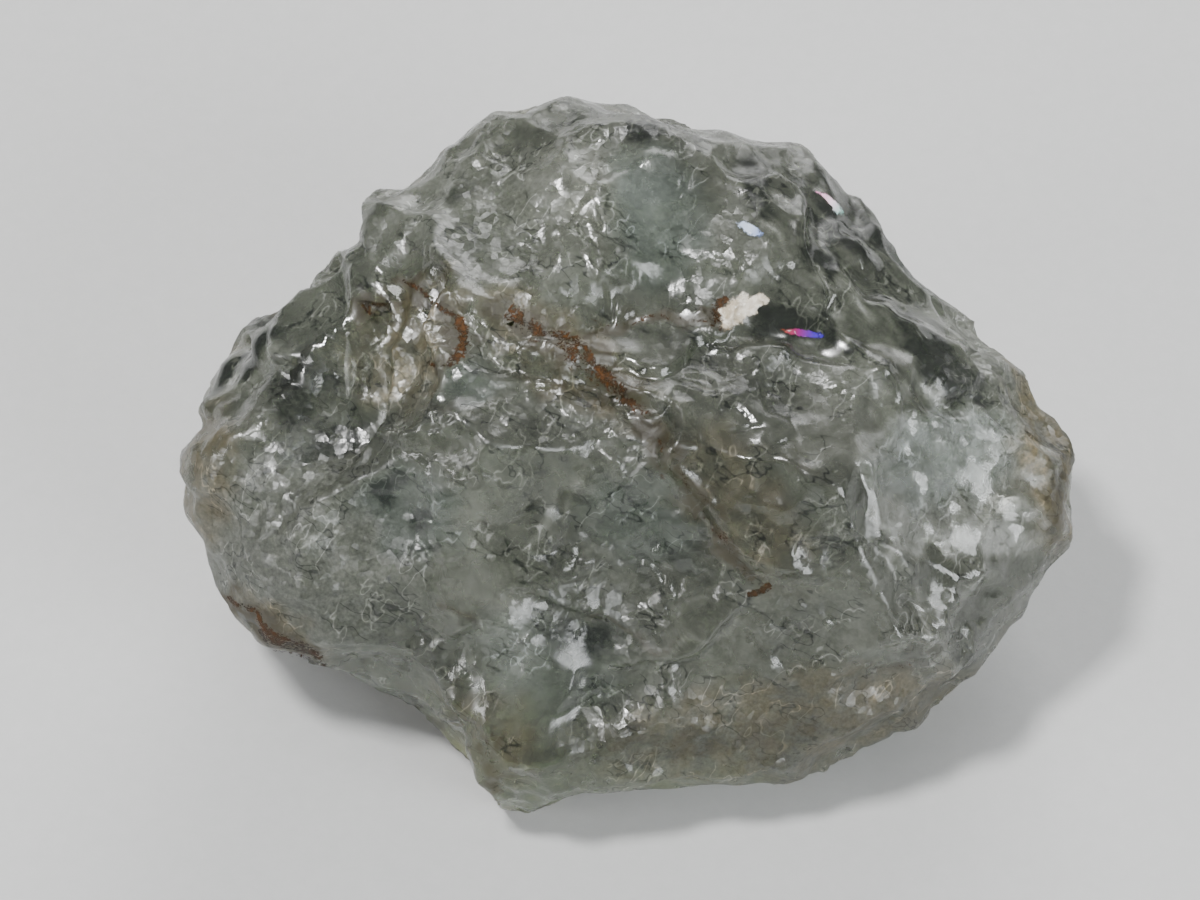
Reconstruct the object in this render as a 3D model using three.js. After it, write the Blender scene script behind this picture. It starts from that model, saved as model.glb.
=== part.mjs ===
// A rough goshenite crystal, the colourless beryl: one broken, water-worn lump with no flat prism faces left.
// It lies on a flat break, with its broad face leaning back towards the viewer.
// Millimetres, +Z up. The origin is on the ground, under the middle of the lump.
import * as THREE from "three";
import { mergeVertices } from "three/addons/utils/BufferGeometryUtils.js";

const { clamp, degToRad, euclideanModulo, lerp, radToDeg, smoothstep } = THREE.MathUtils;

// Driving dimensions.
const MIDDLE = new THREE.Vector3(-0.056, 0.069, 6.8); // the point that every radius is measured from
const FACE_RISE = 55; // degrees that the broad face's outward normal points above the horizon
const CROWN_BULGE = 9.2; // from the middle to the crown, before anything is broken off it
const BACK_BULGE = 9.8; // the same towards the back
const EDGE_SHARPNESS = 32; // higher leaves crisper edges between the breaks
const SURFACE_SPLITS = 20; // how often each edge of the starting icosahedron is split

// The broad face's own directions. A place on it is [across, up] from the middle, seen square to it.
const ACROSS = new THREE.Vector3(1, 0, 0);
const UP = new THREE.Vector3(0, Math.sin(degToRad(FACE_RISE)), Math.cos(degToRad(FACE_RISE)));
const OUT = new THREE.Vector3(0, -Math.cos(degToRad(FACE_RISE)), Math.sin(degToRad(FACE_RISE)));

// The lump's outline round the broad face: [degrees round from across, radius].
const RIM = [
  // right cheek and shoulder
  [0, 14.1], [10, 12.8], [20, 11.5], [29, 10.7], [38, 10.7], [48, 10.6], [60, 11.0],
  // brow
  [72, 10.65], [82, 10.6], [92, 10.7], [102, 11.2], [110, 11.5], [120, 11.15], [131, 10.8],
  // left shoulder, the small lobe behind it, and the left cheek
  [142, 10.55], [150, 11.4], [157, 12.35], [164, 12.7], [172, 13.1], [180, 13.6], [187, 13.95],
  [192, 13.6], [199, 13.65], [206, 13.05], [213, 11.9], [221, 10.85],
  // jaw, chin and right jaw
  [229, 10.4], [236, 10.7], [242, 11.4], [248, 11.7], [254, 11.4], [262, 10.8], [270, 10.5],
  [280, 10.45], [291, 10.9], [300, 11.4], [310, 11.9], [320, 12.65], [330, 12.7], [340, 13.2],
  [350, 14.2],
];

// Breaks: round is measured from across, tilt from the broad face's normal, both in degrees.
// Each is a scar as hollow as a ball of its radius, or flat where it has none.
const BREAKS = [
  { round: 268, tilt: 24, distance: 6.9, radius: 30 }, // broad face
  { round: 235, tilt: 30, distance: 7.8, radius: 26 },
  { round: 85, tilt: 20, distance: 7.3 }, // dome
  { round: 45, tilt: 33, distance: 8.3, radius: 20 },
  { round: 118, tilt: 44, distance: 9.2 },
  { round: 92, tilt: 66, distance: 11.2 }, // brow
  { round: 352, tilt: 40, distance: 9.9, radius: 30 }, // right cheek
  { round: 325, tilt: 52, distance: 11.6, radius: 30 },
  { round: 52, tilt: 58, distance: 10, radius: 26 }, // right shoulder
  { round: 18, tilt: 56, distance: 11.6, radius: 30 },
  { round: 140, tilt: 62, distance: 11.2, radius: 30 }, // left shoulder
  { round: 172, tilt: 40, distance: 9.4, radius: 14 }, // trough
  { round: 205, tilt: 50, distance: 11, radius: 30 }, // left cheek
  { round: 228, tilt: 62, distance: 11, radius: 26 },
  { round: 254, tilt: 62, distance: 11.4, radius: 30 }, // chin
  { round: 286, tilt: 48, distance: 9.3, radius: 26 }, // right jaw
  { round: 308, tilt: 60, distance: 11.6, radius: 30 },
  { round: 90, tilt: 122, distance: 10.6, radius: 30 }, // behind
  { round: 55, tilt: 118, distance: 11.2, radius: 30 },
  { round: 22, tilt: 124, distance: 11.6, radius: 30 },
  { round: 130, tilt: 122, distance: 11.2, radius: 30 },
  { round: 160, tilt: 126, distance: 11.9, radius: 30 },
  { round: 205, tilt: 128, distance: 11.2, radius: 30 },
  { round: 335, tilt: 130, distance: 11.2, radius: 30 },
  { round: 0, tilt: 150, distance: 10, radius: 30 },
  { round: 75, tilt: 156, distance: 9.6, radius: 30 },
  { round: 140, tilt: 152, distance: 9.6, radius: 30 },
];

// Smaller shell-shaped chips, scattered over the whole lump. Larger ones are rarer.
const CHIP_COUNT = 170;
const CHIP_RADII = [4, 16]; // of the ball that hollows each chip out
const CHIP_DEPTHS = [0.12, 0.5];
const CHIP_CLEAR = 0.32; // how far chips keep from the rim, as a share of the way to the crown or the back
const CHIP_LEAN = 0.18; // how far a chip's axis leans from the surface's normal, as a slope
const CHIP_BLEND = 0.03; // how round the edges between chips are
const NORMAL_STEP = 0.04; // between the directions that a surface normal is measured from

// Hollows where flakes came away from the broad face: size is [half length, half width], turn is in degrees.
const HOLLOWS = [
  { at: [-6.7, 3.0], size: [2.3, 1.9], turn: 70, depth: 1.1 }, // thumbprint
  { at: [-9.6, 2.2], size: [4.0, 1.6], turn: 66, depth: 0.95 }, // trough beside it
  { at: [-11.9, 3.2], size: [2.0, 0.8], turn: 50, depth: 0.75 }, // gap before the small lobe
  { at: [5.6, 3.9], size: [2.4, 1.1], turn: -18, depth: 0.6 }, // dark window
  { at: [7.6, 5.2], size: [4.4, 1.0], turn: -48, depth: 0.6 }, // grooves of the right shoulder
  { at: [9.6, 2.5], size: [3.0, 0.9], turn: -52, depth: 0.5 },
  { at: [-2.0, 0.4], size: [4.2, 2.4], turn: -38, depth: 0.45 }, // broad face
  { at: [9.9, -1.2], size: [3.1, 2.2], turn: 12, depth: 0.35 }, // right cheek
  { at: [-2.3, -5.8], size: [2.0, 1.5], turn: -30, depth: 0.5 }, // scallops above the chin
  { at: [-0.8, -7.6], size: [1.6, 1.2], turn: 20, depth: 0.4 },
  { at: [-5.2, -7.6], size: [1.9, 1.4], turn: 60, depth: 0.4 },
];

// Ledges: the side to the left of the line stands proud by the height, which fades over the fade.
const LEDGE_SLOPE = [-0.45, 0.25]; // where a ledge's step starts and ends, across its line
const LEDGES = [
  // under the dome
  { line: [[2.9, 4.2], [1.2, 4.0], [-0.6, 3.9], [-2.2, 3.5], [-4.0, 4.4]], height: -0.35, fade: 2.4 },
  // along the stained crack
  {
    line: [[-4.0, 4.3], [-2.1, 3.2], [-0.2, 1.7], [1.2, 0.0], [2.3, -1.4], [3.0, -2.8], [3.8, -4.0]],
    height: 0.4,
    fade: 2.0,
  },
  // right cheek
  { line: [[6.4, 0.6], [8.2, -3.2], [9.4, -5.8], [10.4, -7.2]], height: 0.35, fade: 2.4 },
  { line: [[12.9, -2.9], [10.4, -3.0], [8.2, -2.8]], height: -0.3, fade: 1.2 },
  // right jaw
  { line: [[-0.4, -6.3], [1.6, -5.6], [3.6, -4.3], [5.4, -4.6], [8.0, -5.8]], height: 0.3, fade: 1.6 },
];

// Ridges: raised lines, with a half width.
const RIDGES = [
  // left cheek
  { line: [[-7.7, 7.8], [-9.3, 5.4], [-10.6, 3.4], [-12.4, 2.1], [-13.4, 0.2]], height: 0.5, width: 0.6 },
  // saddle beside the thumbprint
  { line: [[-7.6, 7.6], [-6.2, 5.6], [-4.6, 3.9], [-3.9, 2.4]], height: 0.45, width: 0.7 },
  // right shoulder
  { line: [[3.6, 8.6], [5.6, 6.0], [7.4, 3.2], [8.6, 1.2]], height: 0.3, width: 0.45 },
  { line: [[7.0, 7.2], [8.6, 4.6], [10.2, 2.2]], height: 0.3, width: 0.45 },
];

const SIDE_EASE = [-0.4, 1.2]; // how far out from the middle the broad face's features start, and are whole
const RIDGE_END = 1.5; // a ridge fades past its ends over this many half widths

// Waves of wear, and waves that shift where features lie, so that none runs straight: [wavelength, size].
const WEAR = [[7.5, 0.12], [3.1, 0.05]];
const SHIFTS = [[6.5, 0.55], [2.6, 0.22]];
const WAVE_COUNT = 11; // directions that each set of waves runs in
const WAVE_STRETCH = [0.7, 1.3]; // the range of its wavelengths
const GOLDEN_TURN = Math.PI * (3 - Math.sqrt(5));
const GOLDEN_SHARE = (Math.sqrt(5) - 1) / 2;

function fraction(value) {
  return value - Math.floor(value);
}

// A repeatable scattered number from 0 to 1, the same for the same index and kind.
function scatter(index, kind) {
  return fraction(Math.sin(index * 12.9898 + kind * 78.233) * 43758.5453);
}

// The direction at a height from -1 to 1 and a turn round the sphere.
function onSphere(height, turn) {
  const level = Math.sqrt(1 - height * height);
  return new THREE.Vector3(level * Math.cos(turn), level * Math.sin(turn), height);
}

// Directions spread evenly over a sphere along a golden spiral.
const waveDirections = Array.from({ length: WAVE_COUNT }, (_, i) =>
  onSphere(1 - (2 * i + 1) / WAVE_COUNT, i * GOLDEN_TURN),
);

// The rim's radius at an angle, easing from each point of RIM to the next.
function rimRadius(angle) {
  const degrees = euclideanModulo(radToDeg(angle), 360);
  const index = RIM.findLastIndex(([start]) => start <= degrees);
  const [start, radius] = RIM[index];
  const [end, nextRadius] = index + 1 < RIM.length ? RIM[index + 1] : [360, RIM[0][1]];
  return lerp(radius, nextRadius, smoothstep(degrees, start, end));
}

// The distance along a direction to the near side of a ball, or infinity where it misses.
function ballDistance(direction, centre, radius) {
  const along = direction.dot(centre);
  const left = along ** 2 - centre.lengthSq() + radius ** 2;
  return left > 0 && along > 0 ? along - Math.sqrt(left) : Infinity;
}

const breaks = BREAKS.map(({ round, tilt, distance, radius = 0 }) => {
  const normal = onSphere(Math.cos(degToRad(tilt)), degToRad(round));
  return { normal, distance, radius, centre: normal.clone().multiplyScalar(distance + radius) };
});

// The distance to the broken lump's surface along a direction of the face: the bulging rim and every break,
// joined by a sum of high powers, so that the nearest of them wins and edges come out a little round.
function lumpRadius(direction) {
  const rim = rimRadius(Math.atan2(direction.y, direction.x));
  const bulge = direction.z > 0 ? CROWN_BULGE : BACK_BULGE;
  const level = Math.hypot(direction.x, direction.y);
  let sum = Math.hypot(level / rim, direction.z / bulge) ** EDGE_SHARPNESS;
  for (const { normal, distance, radius, centre } of breaks) {
    const closeness = radius > 0
      ? 1 / ballDistance(direction, centre, radius)
      : Math.max(normal.dot(direction) / distance, 0);
    sum += closeness ** EDGE_SHARPNESS;
  }
  return sum ** (-1 / EDGE_SHARPNESS);
}

function lumpPlace(direction) {
  return direction.clone().multiplyScalar(lumpRadius(direction));
}

// The broken lump's outward normal along a direction, from four places close round it.
function lumpNormal(direction) {
  const aside = new THREE.Vector3().crossVectors(direction, new THREE.Vector3(0.31, 0.52, 0.79)).normalize();
  const over = new THREE.Vector3().crossVectors(direction, aside);
  const stepped = (way, step) => lumpPlace(direction.clone().addScaledVector(way, step).normalize());
  const alongAside = stepped(aside, NORMAL_STEP).sub(stepped(aside, -NORMAL_STEP));
  const alongOver = stepped(over, NORMAL_STEP).sub(stepped(over, -NORMAL_STEP));
  return alongAside.cross(alongOver).normalize();
}

const chips = Array.from({ length: CHIP_COUNT }, (_, i) => {
  const index = i + 1;
  const height = lerp(CHIP_CLEAR, 1, scatter(index, 1)) * (scatter(index, 7) < 0.5 ? -1 : 1);
  const direction = onSphere(height, 2 * Math.PI * scatter(index, 2));
  const size = scatter(index, 3) ** 2;
  const radius = lerp(CHIP_RADII[0], CHIP_RADII[1], size);
  const depth = lerp(CHIP_DEPTHS[0], CHIP_DEPTHS[1], size);
  const lean = new THREE.Vector3(scatter(index, 4), scatter(index, 5), scatter(index, 6))
    .multiplyScalar(2)
    .subScalar(1);
  const axis = lumpNormal(direction).addScaledVector(lean, CHIP_LEAN).normalize();
  return { centre: lumpPlace(direction).addScaledVector(axis, radius - depth), radius };
});

// The distance along a direction once the chips are gone, each one joined with a small rounding.
function chippedRadius(direction, radius) {
  let left = radius;
  for (const chip of chips) {
    const distance = ballDistance(direction, chip.centre, chip.radius);
    if (distance < left + 4 * CHIP_BLEND) {
      const gap = clamp((left - distance) / CHIP_BLEND, -50, 50);
      left = distance - CHIP_BLEND * Math.log(1 + Math.exp(-gap));
    }
  }
  return left;
}

// Sine waves in every wave direction, added up to a height of about 1.
function waves(place, wavelength, kind) {
  let sum = 0;
  waveDirections.forEach((direction, i) => {
    const stretch = lerp(WAVE_STRETCH[0], WAVE_STRETCH[1], fraction((i + kind) * GOLDEN_SHARE));
    const phase = direction.dot(place) / (wavelength * stretch) + (i + 1 + kind) ** 2 * GOLDEN_SHARE;
    sum += Math.sin(2 * Math.PI * phase);
  });
  return sum / Math.sqrt(WAVE_COUNT / 2);
}

function wearHeight(place) {
  let height = 0;
  WEAR.forEach(([wavelength, size], layer) => {
    height += size * waves(place, wavelength, layer);
  });
  return height;
}

// A place moved sideways by slow waves.
function shifted(place) {
  const moved = place.clone();
  SHIFTS.forEach(([wavelength, size], layer) => {
    moved.x += size * waves(place, wavelength, 2 * layer + 3);
    moved.y += size * waves(moved, wavelength, 2 * layer + 4);
  });
  return moved;
}

// 1 over the whole of the broad face's side of the lump, and 0 past its rim.
function onBroadSide(place) {
  return smoothstep(place.z, SIDE_EASE[0], SIDE_EASE[1]);
}

// How deep the deepest hollow is at a place. Hollows that overlap meet in a sharp ridge.
function hollowDepth(place) {
  let deepest = 0;
  for (const { at, size, turn, depth } of HOLLOWS) {
    const across = place.x - at[0];
    const up = place.y - at[1];
    const along = across * Math.cos(degToRad(turn)) + up * Math.sin(degToRad(turn));
    const aside = up * Math.cos(degToRad(turn)) - across * Math.sin(degToRad(turn));
    const bowl = 1 - (along / size[0]) ** 2 - (aside / size[1]) ** 2;
    deepest = Math.max(deepest, depth * bowl);
  }
  return deepest;
}

// How far a place is from a line on the broad face, which side of it the place is on (1 is left),
// and 1 along the line, fading to 0 past its ends.
function fromLine(place, line, endFade) {
  let nearest = { distance: Infinity, left: 1, along: 1 };
  for (let i = 0; i + 1 < line.length; i++) {
    const [[startX, startY], [endX, endY]] = [line[i], line[i + 1]];
    const [stepX, stepY] = [endX - startX, endY - startY];
    const share = ((place.x - startX) * stepX + (place.y - startY) * stepY) / (stepX ** 2 + stepY ** 2);
    const kept = clamp(share, 0, 1);
    const [gapX, gapY] = [place.x - startX - kept * stepX, place.y - startY - kept * stepY];
    const distance = Math.hypot(gapX, gapY);
    if (distance < nearest.distance) {
      const atEnd = (i === 0 && share < 0) || (i + 2 === line.length && share > 1);
      const past = atEnd ? Math.abs(share - kept) * Math.hypot(stepX, stepY) : 0;
      nearest = {
        distance,
        left: stepX * gapY - stepY * gapX < 0 ? -1 : 1,
        along: Math.max(0, 1 - past / endFade),
      };
    }
  }
  return nearest;
}

function ledgeHeight(place) {
  let height = 0;
  for (const ledge of LEDGES) {
    const { distance, left, along } = fromLine(place, ledge.line, ledge.fade);
    const inside = distance * left;
    const step = smoothstep(inside, LEDGE_SLOPE[0], LEDGE_SLOPE[1]);
    height += ledge.height * along * step * Math.exp(-Math.max(inside, 0) / ledge.fade);
  }
  return height;
}

function ridgeHeight(place) {
  let height = 0;
  for (const ridge of RIDGES) {
    const { distance, along } = fromLine(place, ridge.line, RIDGE_END * ridge.width);
    height += ridge.height * along * Math.exp(-((distance / ridge.width) ** 2));
  }
  return height;
}

// The finished surface along a direction of the face, cut off flat where it meets the ground.
function surfacePoint(direction) {
  const radius = lumpRadius(direction);
  const place = direction.clone().multiplyScalar(radius);
  const moved = shifted(place);
  const relief = (ledgeHeight(moved) + ridgeHeight(moved) - hollowDepth(moved)) * onBroadSide(place);
  place.setLength(chippedRadius(direction, radius) + relief + wearHeight(place));
  const point = MIDDLE.clone()
    .addScaledVector(ACROSS, place.x)
    .addScaledVector(UP, place.y)
    .addScaledVector(OUT, place.z);
  return point.z < 0 ? MIDDLE.clone().lerp(point, MIDDLE.z / (MIDDLE.z - point.z)) : point;
}

function crystalGeometry() {
  const ball = new THREE.IcosahedronGeometry(1, SURFACE_SPLITS);
  ball.deleteAttribute("normal");
  ball.deleteAttribute("uv");
  const geometry = mergeVertices(ball, 1e-5);
  const positions = geometry.getAttribute("position");
  for (let i = 0; i < positions.count; i++) {
    const direction = new THREE.Vector3().fromBufferAttribute(positions, i).normalize();
    const point = surfacePoint(direction);
    positions.setXYZ(i, point.x, point.y, point.z);
  }
  geometry.computeVertexNormals();
  return geometry;
}

const clearBeryl = new THREE.MeshStandardMaterial({
  color: 0x8f9488,
  roughness: 0.35,
  metalness: 0,
  transparent: true,
  opacity: 0.6,
});

const specimen = new THREE.Group();
const crystal = new THREE.Mesh(crystalGeometry(), clearBeryl);
crystal.name = "goshenite_crystal";
specimen.add(crystal);

export default specimen;
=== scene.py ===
"""A rough goshenite crystal, the colourless beryl, dressed for a close-up.

Everything is worked out in the crystal's own terms: a place on its broad face is [across, up] in
millimetres from the middle of the lump, seen square to that face, and out points away from it.
"""
import functools
import math

import bpy
import numpy as np
from mathutils import Matrix, Vector


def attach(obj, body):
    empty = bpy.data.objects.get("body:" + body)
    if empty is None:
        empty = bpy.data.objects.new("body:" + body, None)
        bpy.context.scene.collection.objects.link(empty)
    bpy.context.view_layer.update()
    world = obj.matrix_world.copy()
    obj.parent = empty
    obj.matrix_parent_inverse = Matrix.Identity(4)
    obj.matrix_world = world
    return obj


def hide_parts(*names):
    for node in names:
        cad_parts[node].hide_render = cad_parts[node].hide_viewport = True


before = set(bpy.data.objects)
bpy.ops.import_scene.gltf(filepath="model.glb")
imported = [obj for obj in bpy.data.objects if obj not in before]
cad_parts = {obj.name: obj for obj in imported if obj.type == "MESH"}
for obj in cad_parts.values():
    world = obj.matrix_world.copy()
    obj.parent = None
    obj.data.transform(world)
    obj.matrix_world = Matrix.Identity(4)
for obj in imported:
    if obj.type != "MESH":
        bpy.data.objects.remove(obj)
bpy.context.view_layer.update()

bl_info = {
    "name": "Goshenite Crystal",
    "version": (1, 0, 0),
    "blender": (4, 5, 0),
    "location": "View3D > Sidebar > Goshenite",
    "description": "Builds a rough, clear beryl crystal with its cracks, veils and stains",
    "category": "Add Mesh",
}

MM = 0.001

# The lump, in millimetres. These values are the solid's own.
MIDDLE = np.array([-0.056, 0.069, 6.8])  # the point that every radius is measured from
FACE_RISE = math.radians(55)  # of the broad face's outward normal above the horizon
CROWN_BULGE = 9.2
BACK_BULGE = 9.8
EDGE_SHARPNESS = 32
ACROSS = np.array([1.0, 0.0, 0.0])
UP = np.array([0.0, math.sin(FACE_RISE), math.cos(FACE_RISE)])
OUT = np.array([0.0, -math.cos(FACE_RISE), math.sin(FACE_RISE)])

# The outline round the broad face: degrees round from across, radius.
RIM = [
    # right cheek and shoulder
    (0, 14.1), (10, 12.8), (20, 11.5), (29, 10.7), (38, 10.7), (48, 10.6), (60, 11.0),
    # brow
    (72, 10.65), (82, 10.6), (92, 10.7), (102, 11.2), (110, 11.5), (120, 11.15), (131, 10.8),
    # left shoulder, the small lobe behind it, and the left cheek
    (142, 10.55), (150, 11.4), (157, 12.35), (164, 12.7), (172, 13.1), (180, 13.6), (187, 13.95),
    (192, 13.6), (199, 13.65), (206, 13.05), (213, 11.9), (221, 10.85),
    # jaw, chin and right jaw
    (229, 10.4), (236, 10.7), (242, 11.4), (248, 11.7), (254, 11.4), (262, 10.8), (270, 10.5),
    (280, 10.45), (291, 10.9), (300, 11.4), (310, 11.9), (320, 12.65), (330, 12.7), (340, 13.2),
    (350, 14.2),
]

# Breaks: degrees round from across, degrees of tilt from the broad face's normal, distance,
# and the radius of the ball that hollows it, or 0 where it is flat.
BREAKS = [
    (268, 24, 6.9, 30), (235, 30, 7.8, 26),  # broad face
    (85, 20, 7.3, 0), (45, 33, 8.3, 20), (118, 44, 9.2, 0),  # dome
    (92, 66, 11.2, 0),  # brow
    (352, 40, 9.9, 30), (325, 52, 11.6, 30),  # right cheek
    (52, 58, 10, 26), (18, 56, 11.6, 30),  # right shoulder
    (140, 62, 11.2, 30),  # left shoulder
    (172, 40, 9.4, 14),  # trough
    (205, 50, 11, 30), (228, 62, 11, 26),  # left cheek
    (254, 62, 11.4, 30),  # chin
    (286, 48, 9.3, 26), (308, 60, 11.6, 30),  # right jaw
    (90, 122, 10.6, 30), (55, 118, 11.2, 30), (22, 124, 11.6, 30), (130, 122, 11.2, 30),  # behind
    (160, 126, 11.9, 30), (205, 128, 11.2, 30), (335, 130, 11.2, 30),
    (0, 150, 10, 30), (75, 156, 9.6, 30), (140, 152, 9.6, 30),
]

# Shell-shaped chips: how many, the hollowing ball's radii, depths, lean as a slope,
# and how far they keep from the rim as a share of the way to the crown or the back.
CHIPS = (170, (4.0, 16.0), (0.12, 0.5), 0.18, 0.32)
FINE_CHIPS = (1500, (0.7, 4.2), (0.03, 0.17), 0.45, 0.0)
CHIP_BLEND = 0.03
# Small flat breaks, each tilted its own way: how many, steepest slope, greatest height,
# and how wavy their edges are.
FACETS = [(600, 0.20, 0.055, 0.05), (2600, 0.14, 0.018, 0.025)]
# Polished chips that face half-way between the camera and the key light: place, radius, depth.
GLINTS = [
    ((0.4, 7.8), 1.5, 0.1), ((0.5, 5.8), 1.0, 0.08), ((-2.8, 6.9), 0.5, 0.05),
    ((-3.3, 9.7), 0.5, 0.05), ((-1.4, -7.0), 1.0, 0.14), ((-0.5, -6.3), 0.7, 0.08),
    ((2.2, -5.2), 0.8, 0.1), ((-6.3, -5.7), 0.5, 0.05), ((-4.9, -6.2), 0.6, 0.06),
    ((11.8, -2.5), 0.9, 0.07), ((6.8, 4.9), 0.6, 0.06), ((-5.0, -8.3), 0.7, 0.06),
    ((3.6, 6.8), 0.6, 0.05), ((-4.5, 3.4), 0.6, 0.06), ((5.2, -1.7), 0.4, 0.04),
    ((8.9, 1.8), 0.5, 0.05),
]
NORMAL_STEP = 0.04
SOLVE_STEPS, START_OUT = 24, 6.0  # for finding how far out the skin stands at [across, up]

# Hollows: place, half length and half width, turn in degrees, depth.
HOLLOWS = [
    ((-6.7, 3.0), (2.3, 1.9), 70, 1.1),  # thumbprint
    ((-9.6, 2.2), (4.0, 1.6), 66, 0.95),  # trough beside it
    ((-11.9, 3.2), (2.0, 0.8), 50, 0.75),  # gap before the small lobe
    ((5.6, 3.9), (2.4, 1.1), -18, 0.6),  # dark window
    ((7.6, 5.2), (4.4, 1.0), -48, 0.6), ((9.6, 2.5), (3.0, 0.9), -52, 0.5),  # right shoulder
    ((-2.0, 0.4), (4.2, 2.4), -38, 0.45),  # broad face
    ((9.9, -1.2), (3.1, 2.2), 12, 0.35),  # right cheek
    ((-2.3, -5.8), (2.0, 1.5), -30, 0.5), ((-0.8, -7.6), (1.6, 1.2), 20, 0.4),  # above the chin
    ((-5.2, -7.6), (1.9, 1.4), 60, 0.4),
]

MAIN_CRACK = [(-4.0, 4.3), (-2.1, 3.2), (-0.2, 1.7), (1.2, 0.0), (2.3, -1.4), (3.0, -2.8), (3.8, -4.0)]
DOME_FOOT = [(2.9, 4.2), (1.2, 4.0), (-0.6, 3.9), (-2.2, 3.5), (-4.0, 4.4)]

# Ledges: line, height of the side to its left, and the distance that the height fades over.
LEDGE_SLOPE = (-0.45, 0.25)
LEDGES = [
    (DOME_FOOT, -0.35, 2.4),
    (MAIN_CRACK, 0.4, 2.0),
    ([(6.4, 0.6), (8.2, -3.2), (9.4, -5.8), (10.4, -7.2)], 0.35, 2.4),  # right cheek
    ([(12.9, -2.9), (10.4, -3.0), (8.2, -2.8)], -0.3, 1.2),
    ([(-0.4, -6.3), (1.6, -5.6), (3.6, -4.3), (5.4, -4.6), (8.0, -5.8)], 0.3, 1.6),  # right jaw
]

# Ridges: line, height, half width.
RIDGE_END = 1.5
RIDGES = [
    ([(-7.7, 7.8), (-9.3, 5.4), (-10.6, 3.4), (-12.4, 2.1), (-13.4, 0.2)], 0.5, 0.6),  # left cheek
    ([(-7.6, 7.6), (-6.2, 5.6), (-4.6, 3.9), (-3.9, 2.4)], 0.45, 0.7),  # beside the thumbprint
    ([(3.6, 8.6), (5.6, 6.0), (7.4, 3.2), (8.6, 1.2)], 0.3, 0.45),  # right shoulder
    ([(7.0, 7.2), (8.6, 4.6), (10.2, 2.2)], 0.3, 0.45),
]

# Waves: wavelength and size.
SIDE_EASE = (-0.4, 1.2)
WEAR = [(7.5, 0.12), (3.1, 0.05)]
FINE_WEAR = [(1.1, 0.012)]
SHIFTS = [(6.5, 0.55), (2.6, 0.22)]
WAVE_COUNT = 11
GOLDEN_TURN = math.pi * (3 - math.sqrt(5))
GOLDEN_SHARE = (math.sqrt(5) - 1) / 2

# Rust on the broad face: line, half width, strength.
THUMBPRINT_ARC = [(-6.8, 5.4), (-5.9, 4.8), (-5.2, 3.9), (-5.05, 3.2), (-5.4, 2.75), (-5.9, 2.7)]
STAIN_LINES = [
    (MAIN_CRACK, 0.16, 0.8),
    ([(-4.0, 4.3), (-2.8, 3.8), (-1.5, 3.3), (-0.7, 2.6), (0.0, 1.6)], 0.2, 1.0),
    ([(0.8, 0.2), (1.3, -0.8), (2.1, -1.6), (2.6, -2.3), (3.0, -3.0), (3.8, -3.9)], 0.15, 0.8),
    (THUMBPRINT_ARC, 0.14, 1.0),
    (THUMBPRINT_ARC[2:5], 0.3, 1.0),
    ([(-8.2, 4.9), (-7.9, 4.4)], 0.16, 1.0),
    ([(12.9, 0.5), (13.2, -1.4), (12.3, -2.8)], 0.2, 0.5),  # right cheek
    ([(-4.0, -8.3), (-4.3, -9.3), (-4.2, -10.5)], 0.16, 0.8),  # chin
    ([(-1.2, 3.8), (0.4, 4.05), (1.6, 4.1), (2.6, 4.1)], 0.12, 0.8),  # foot of the dome
    ([(3.3, 0.1), (4.8, 0.1), (5.5, -0.6), (6.0, -1.3)], 0.22, 0.45),
    ([(-12.4, -4.5), (-11.4, -5.0), (-10.2, -5.8), (-9.7, -6.2)], 0.18, 1.0),  # left cheek
    ([(-5.6, -4.6), (-4.9, -4.9), (-4.4, -5.3)], 0.1, 0.7),
    ([(-0.9, -4.9), (0.6, -5.9), (1.6, -5.6)], 0.08, 0.6),
]
# Rusty patches: place, half length and half width, turn in degrees, strength.
STAIN_PATCHES = [
    ((-1.9, 3.2), (2.3, 0.75), -36, 0.75),
    ((-0.2, 2.0), (1.2, 0.5), -50, 0.7),
    ((-10.4, -5.9), (1.1, 0.6), -30, 0.9),
    ((2.6, 4.4), (0.5, 0.35), 60, 0.9),
    ((0.05, 1.6), (0.3, 0.22), 0, 1.0),
    ((3.75, -3.9), (0.3, 0.25), 0, 1.0),
    ((3.0, -8.6), (4.5, 0.6), 8, 0.5),
    ((8.6, -6.2), (1.6, 0.5), 24, 0.5),
    ((-5.7, 1.4), (0.7, 0.5), 10, 0.45),
]
WIDE_STAINS = [(line, 2.2 * width, strength) for line, width, strength in STAIN_LINES]
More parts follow.
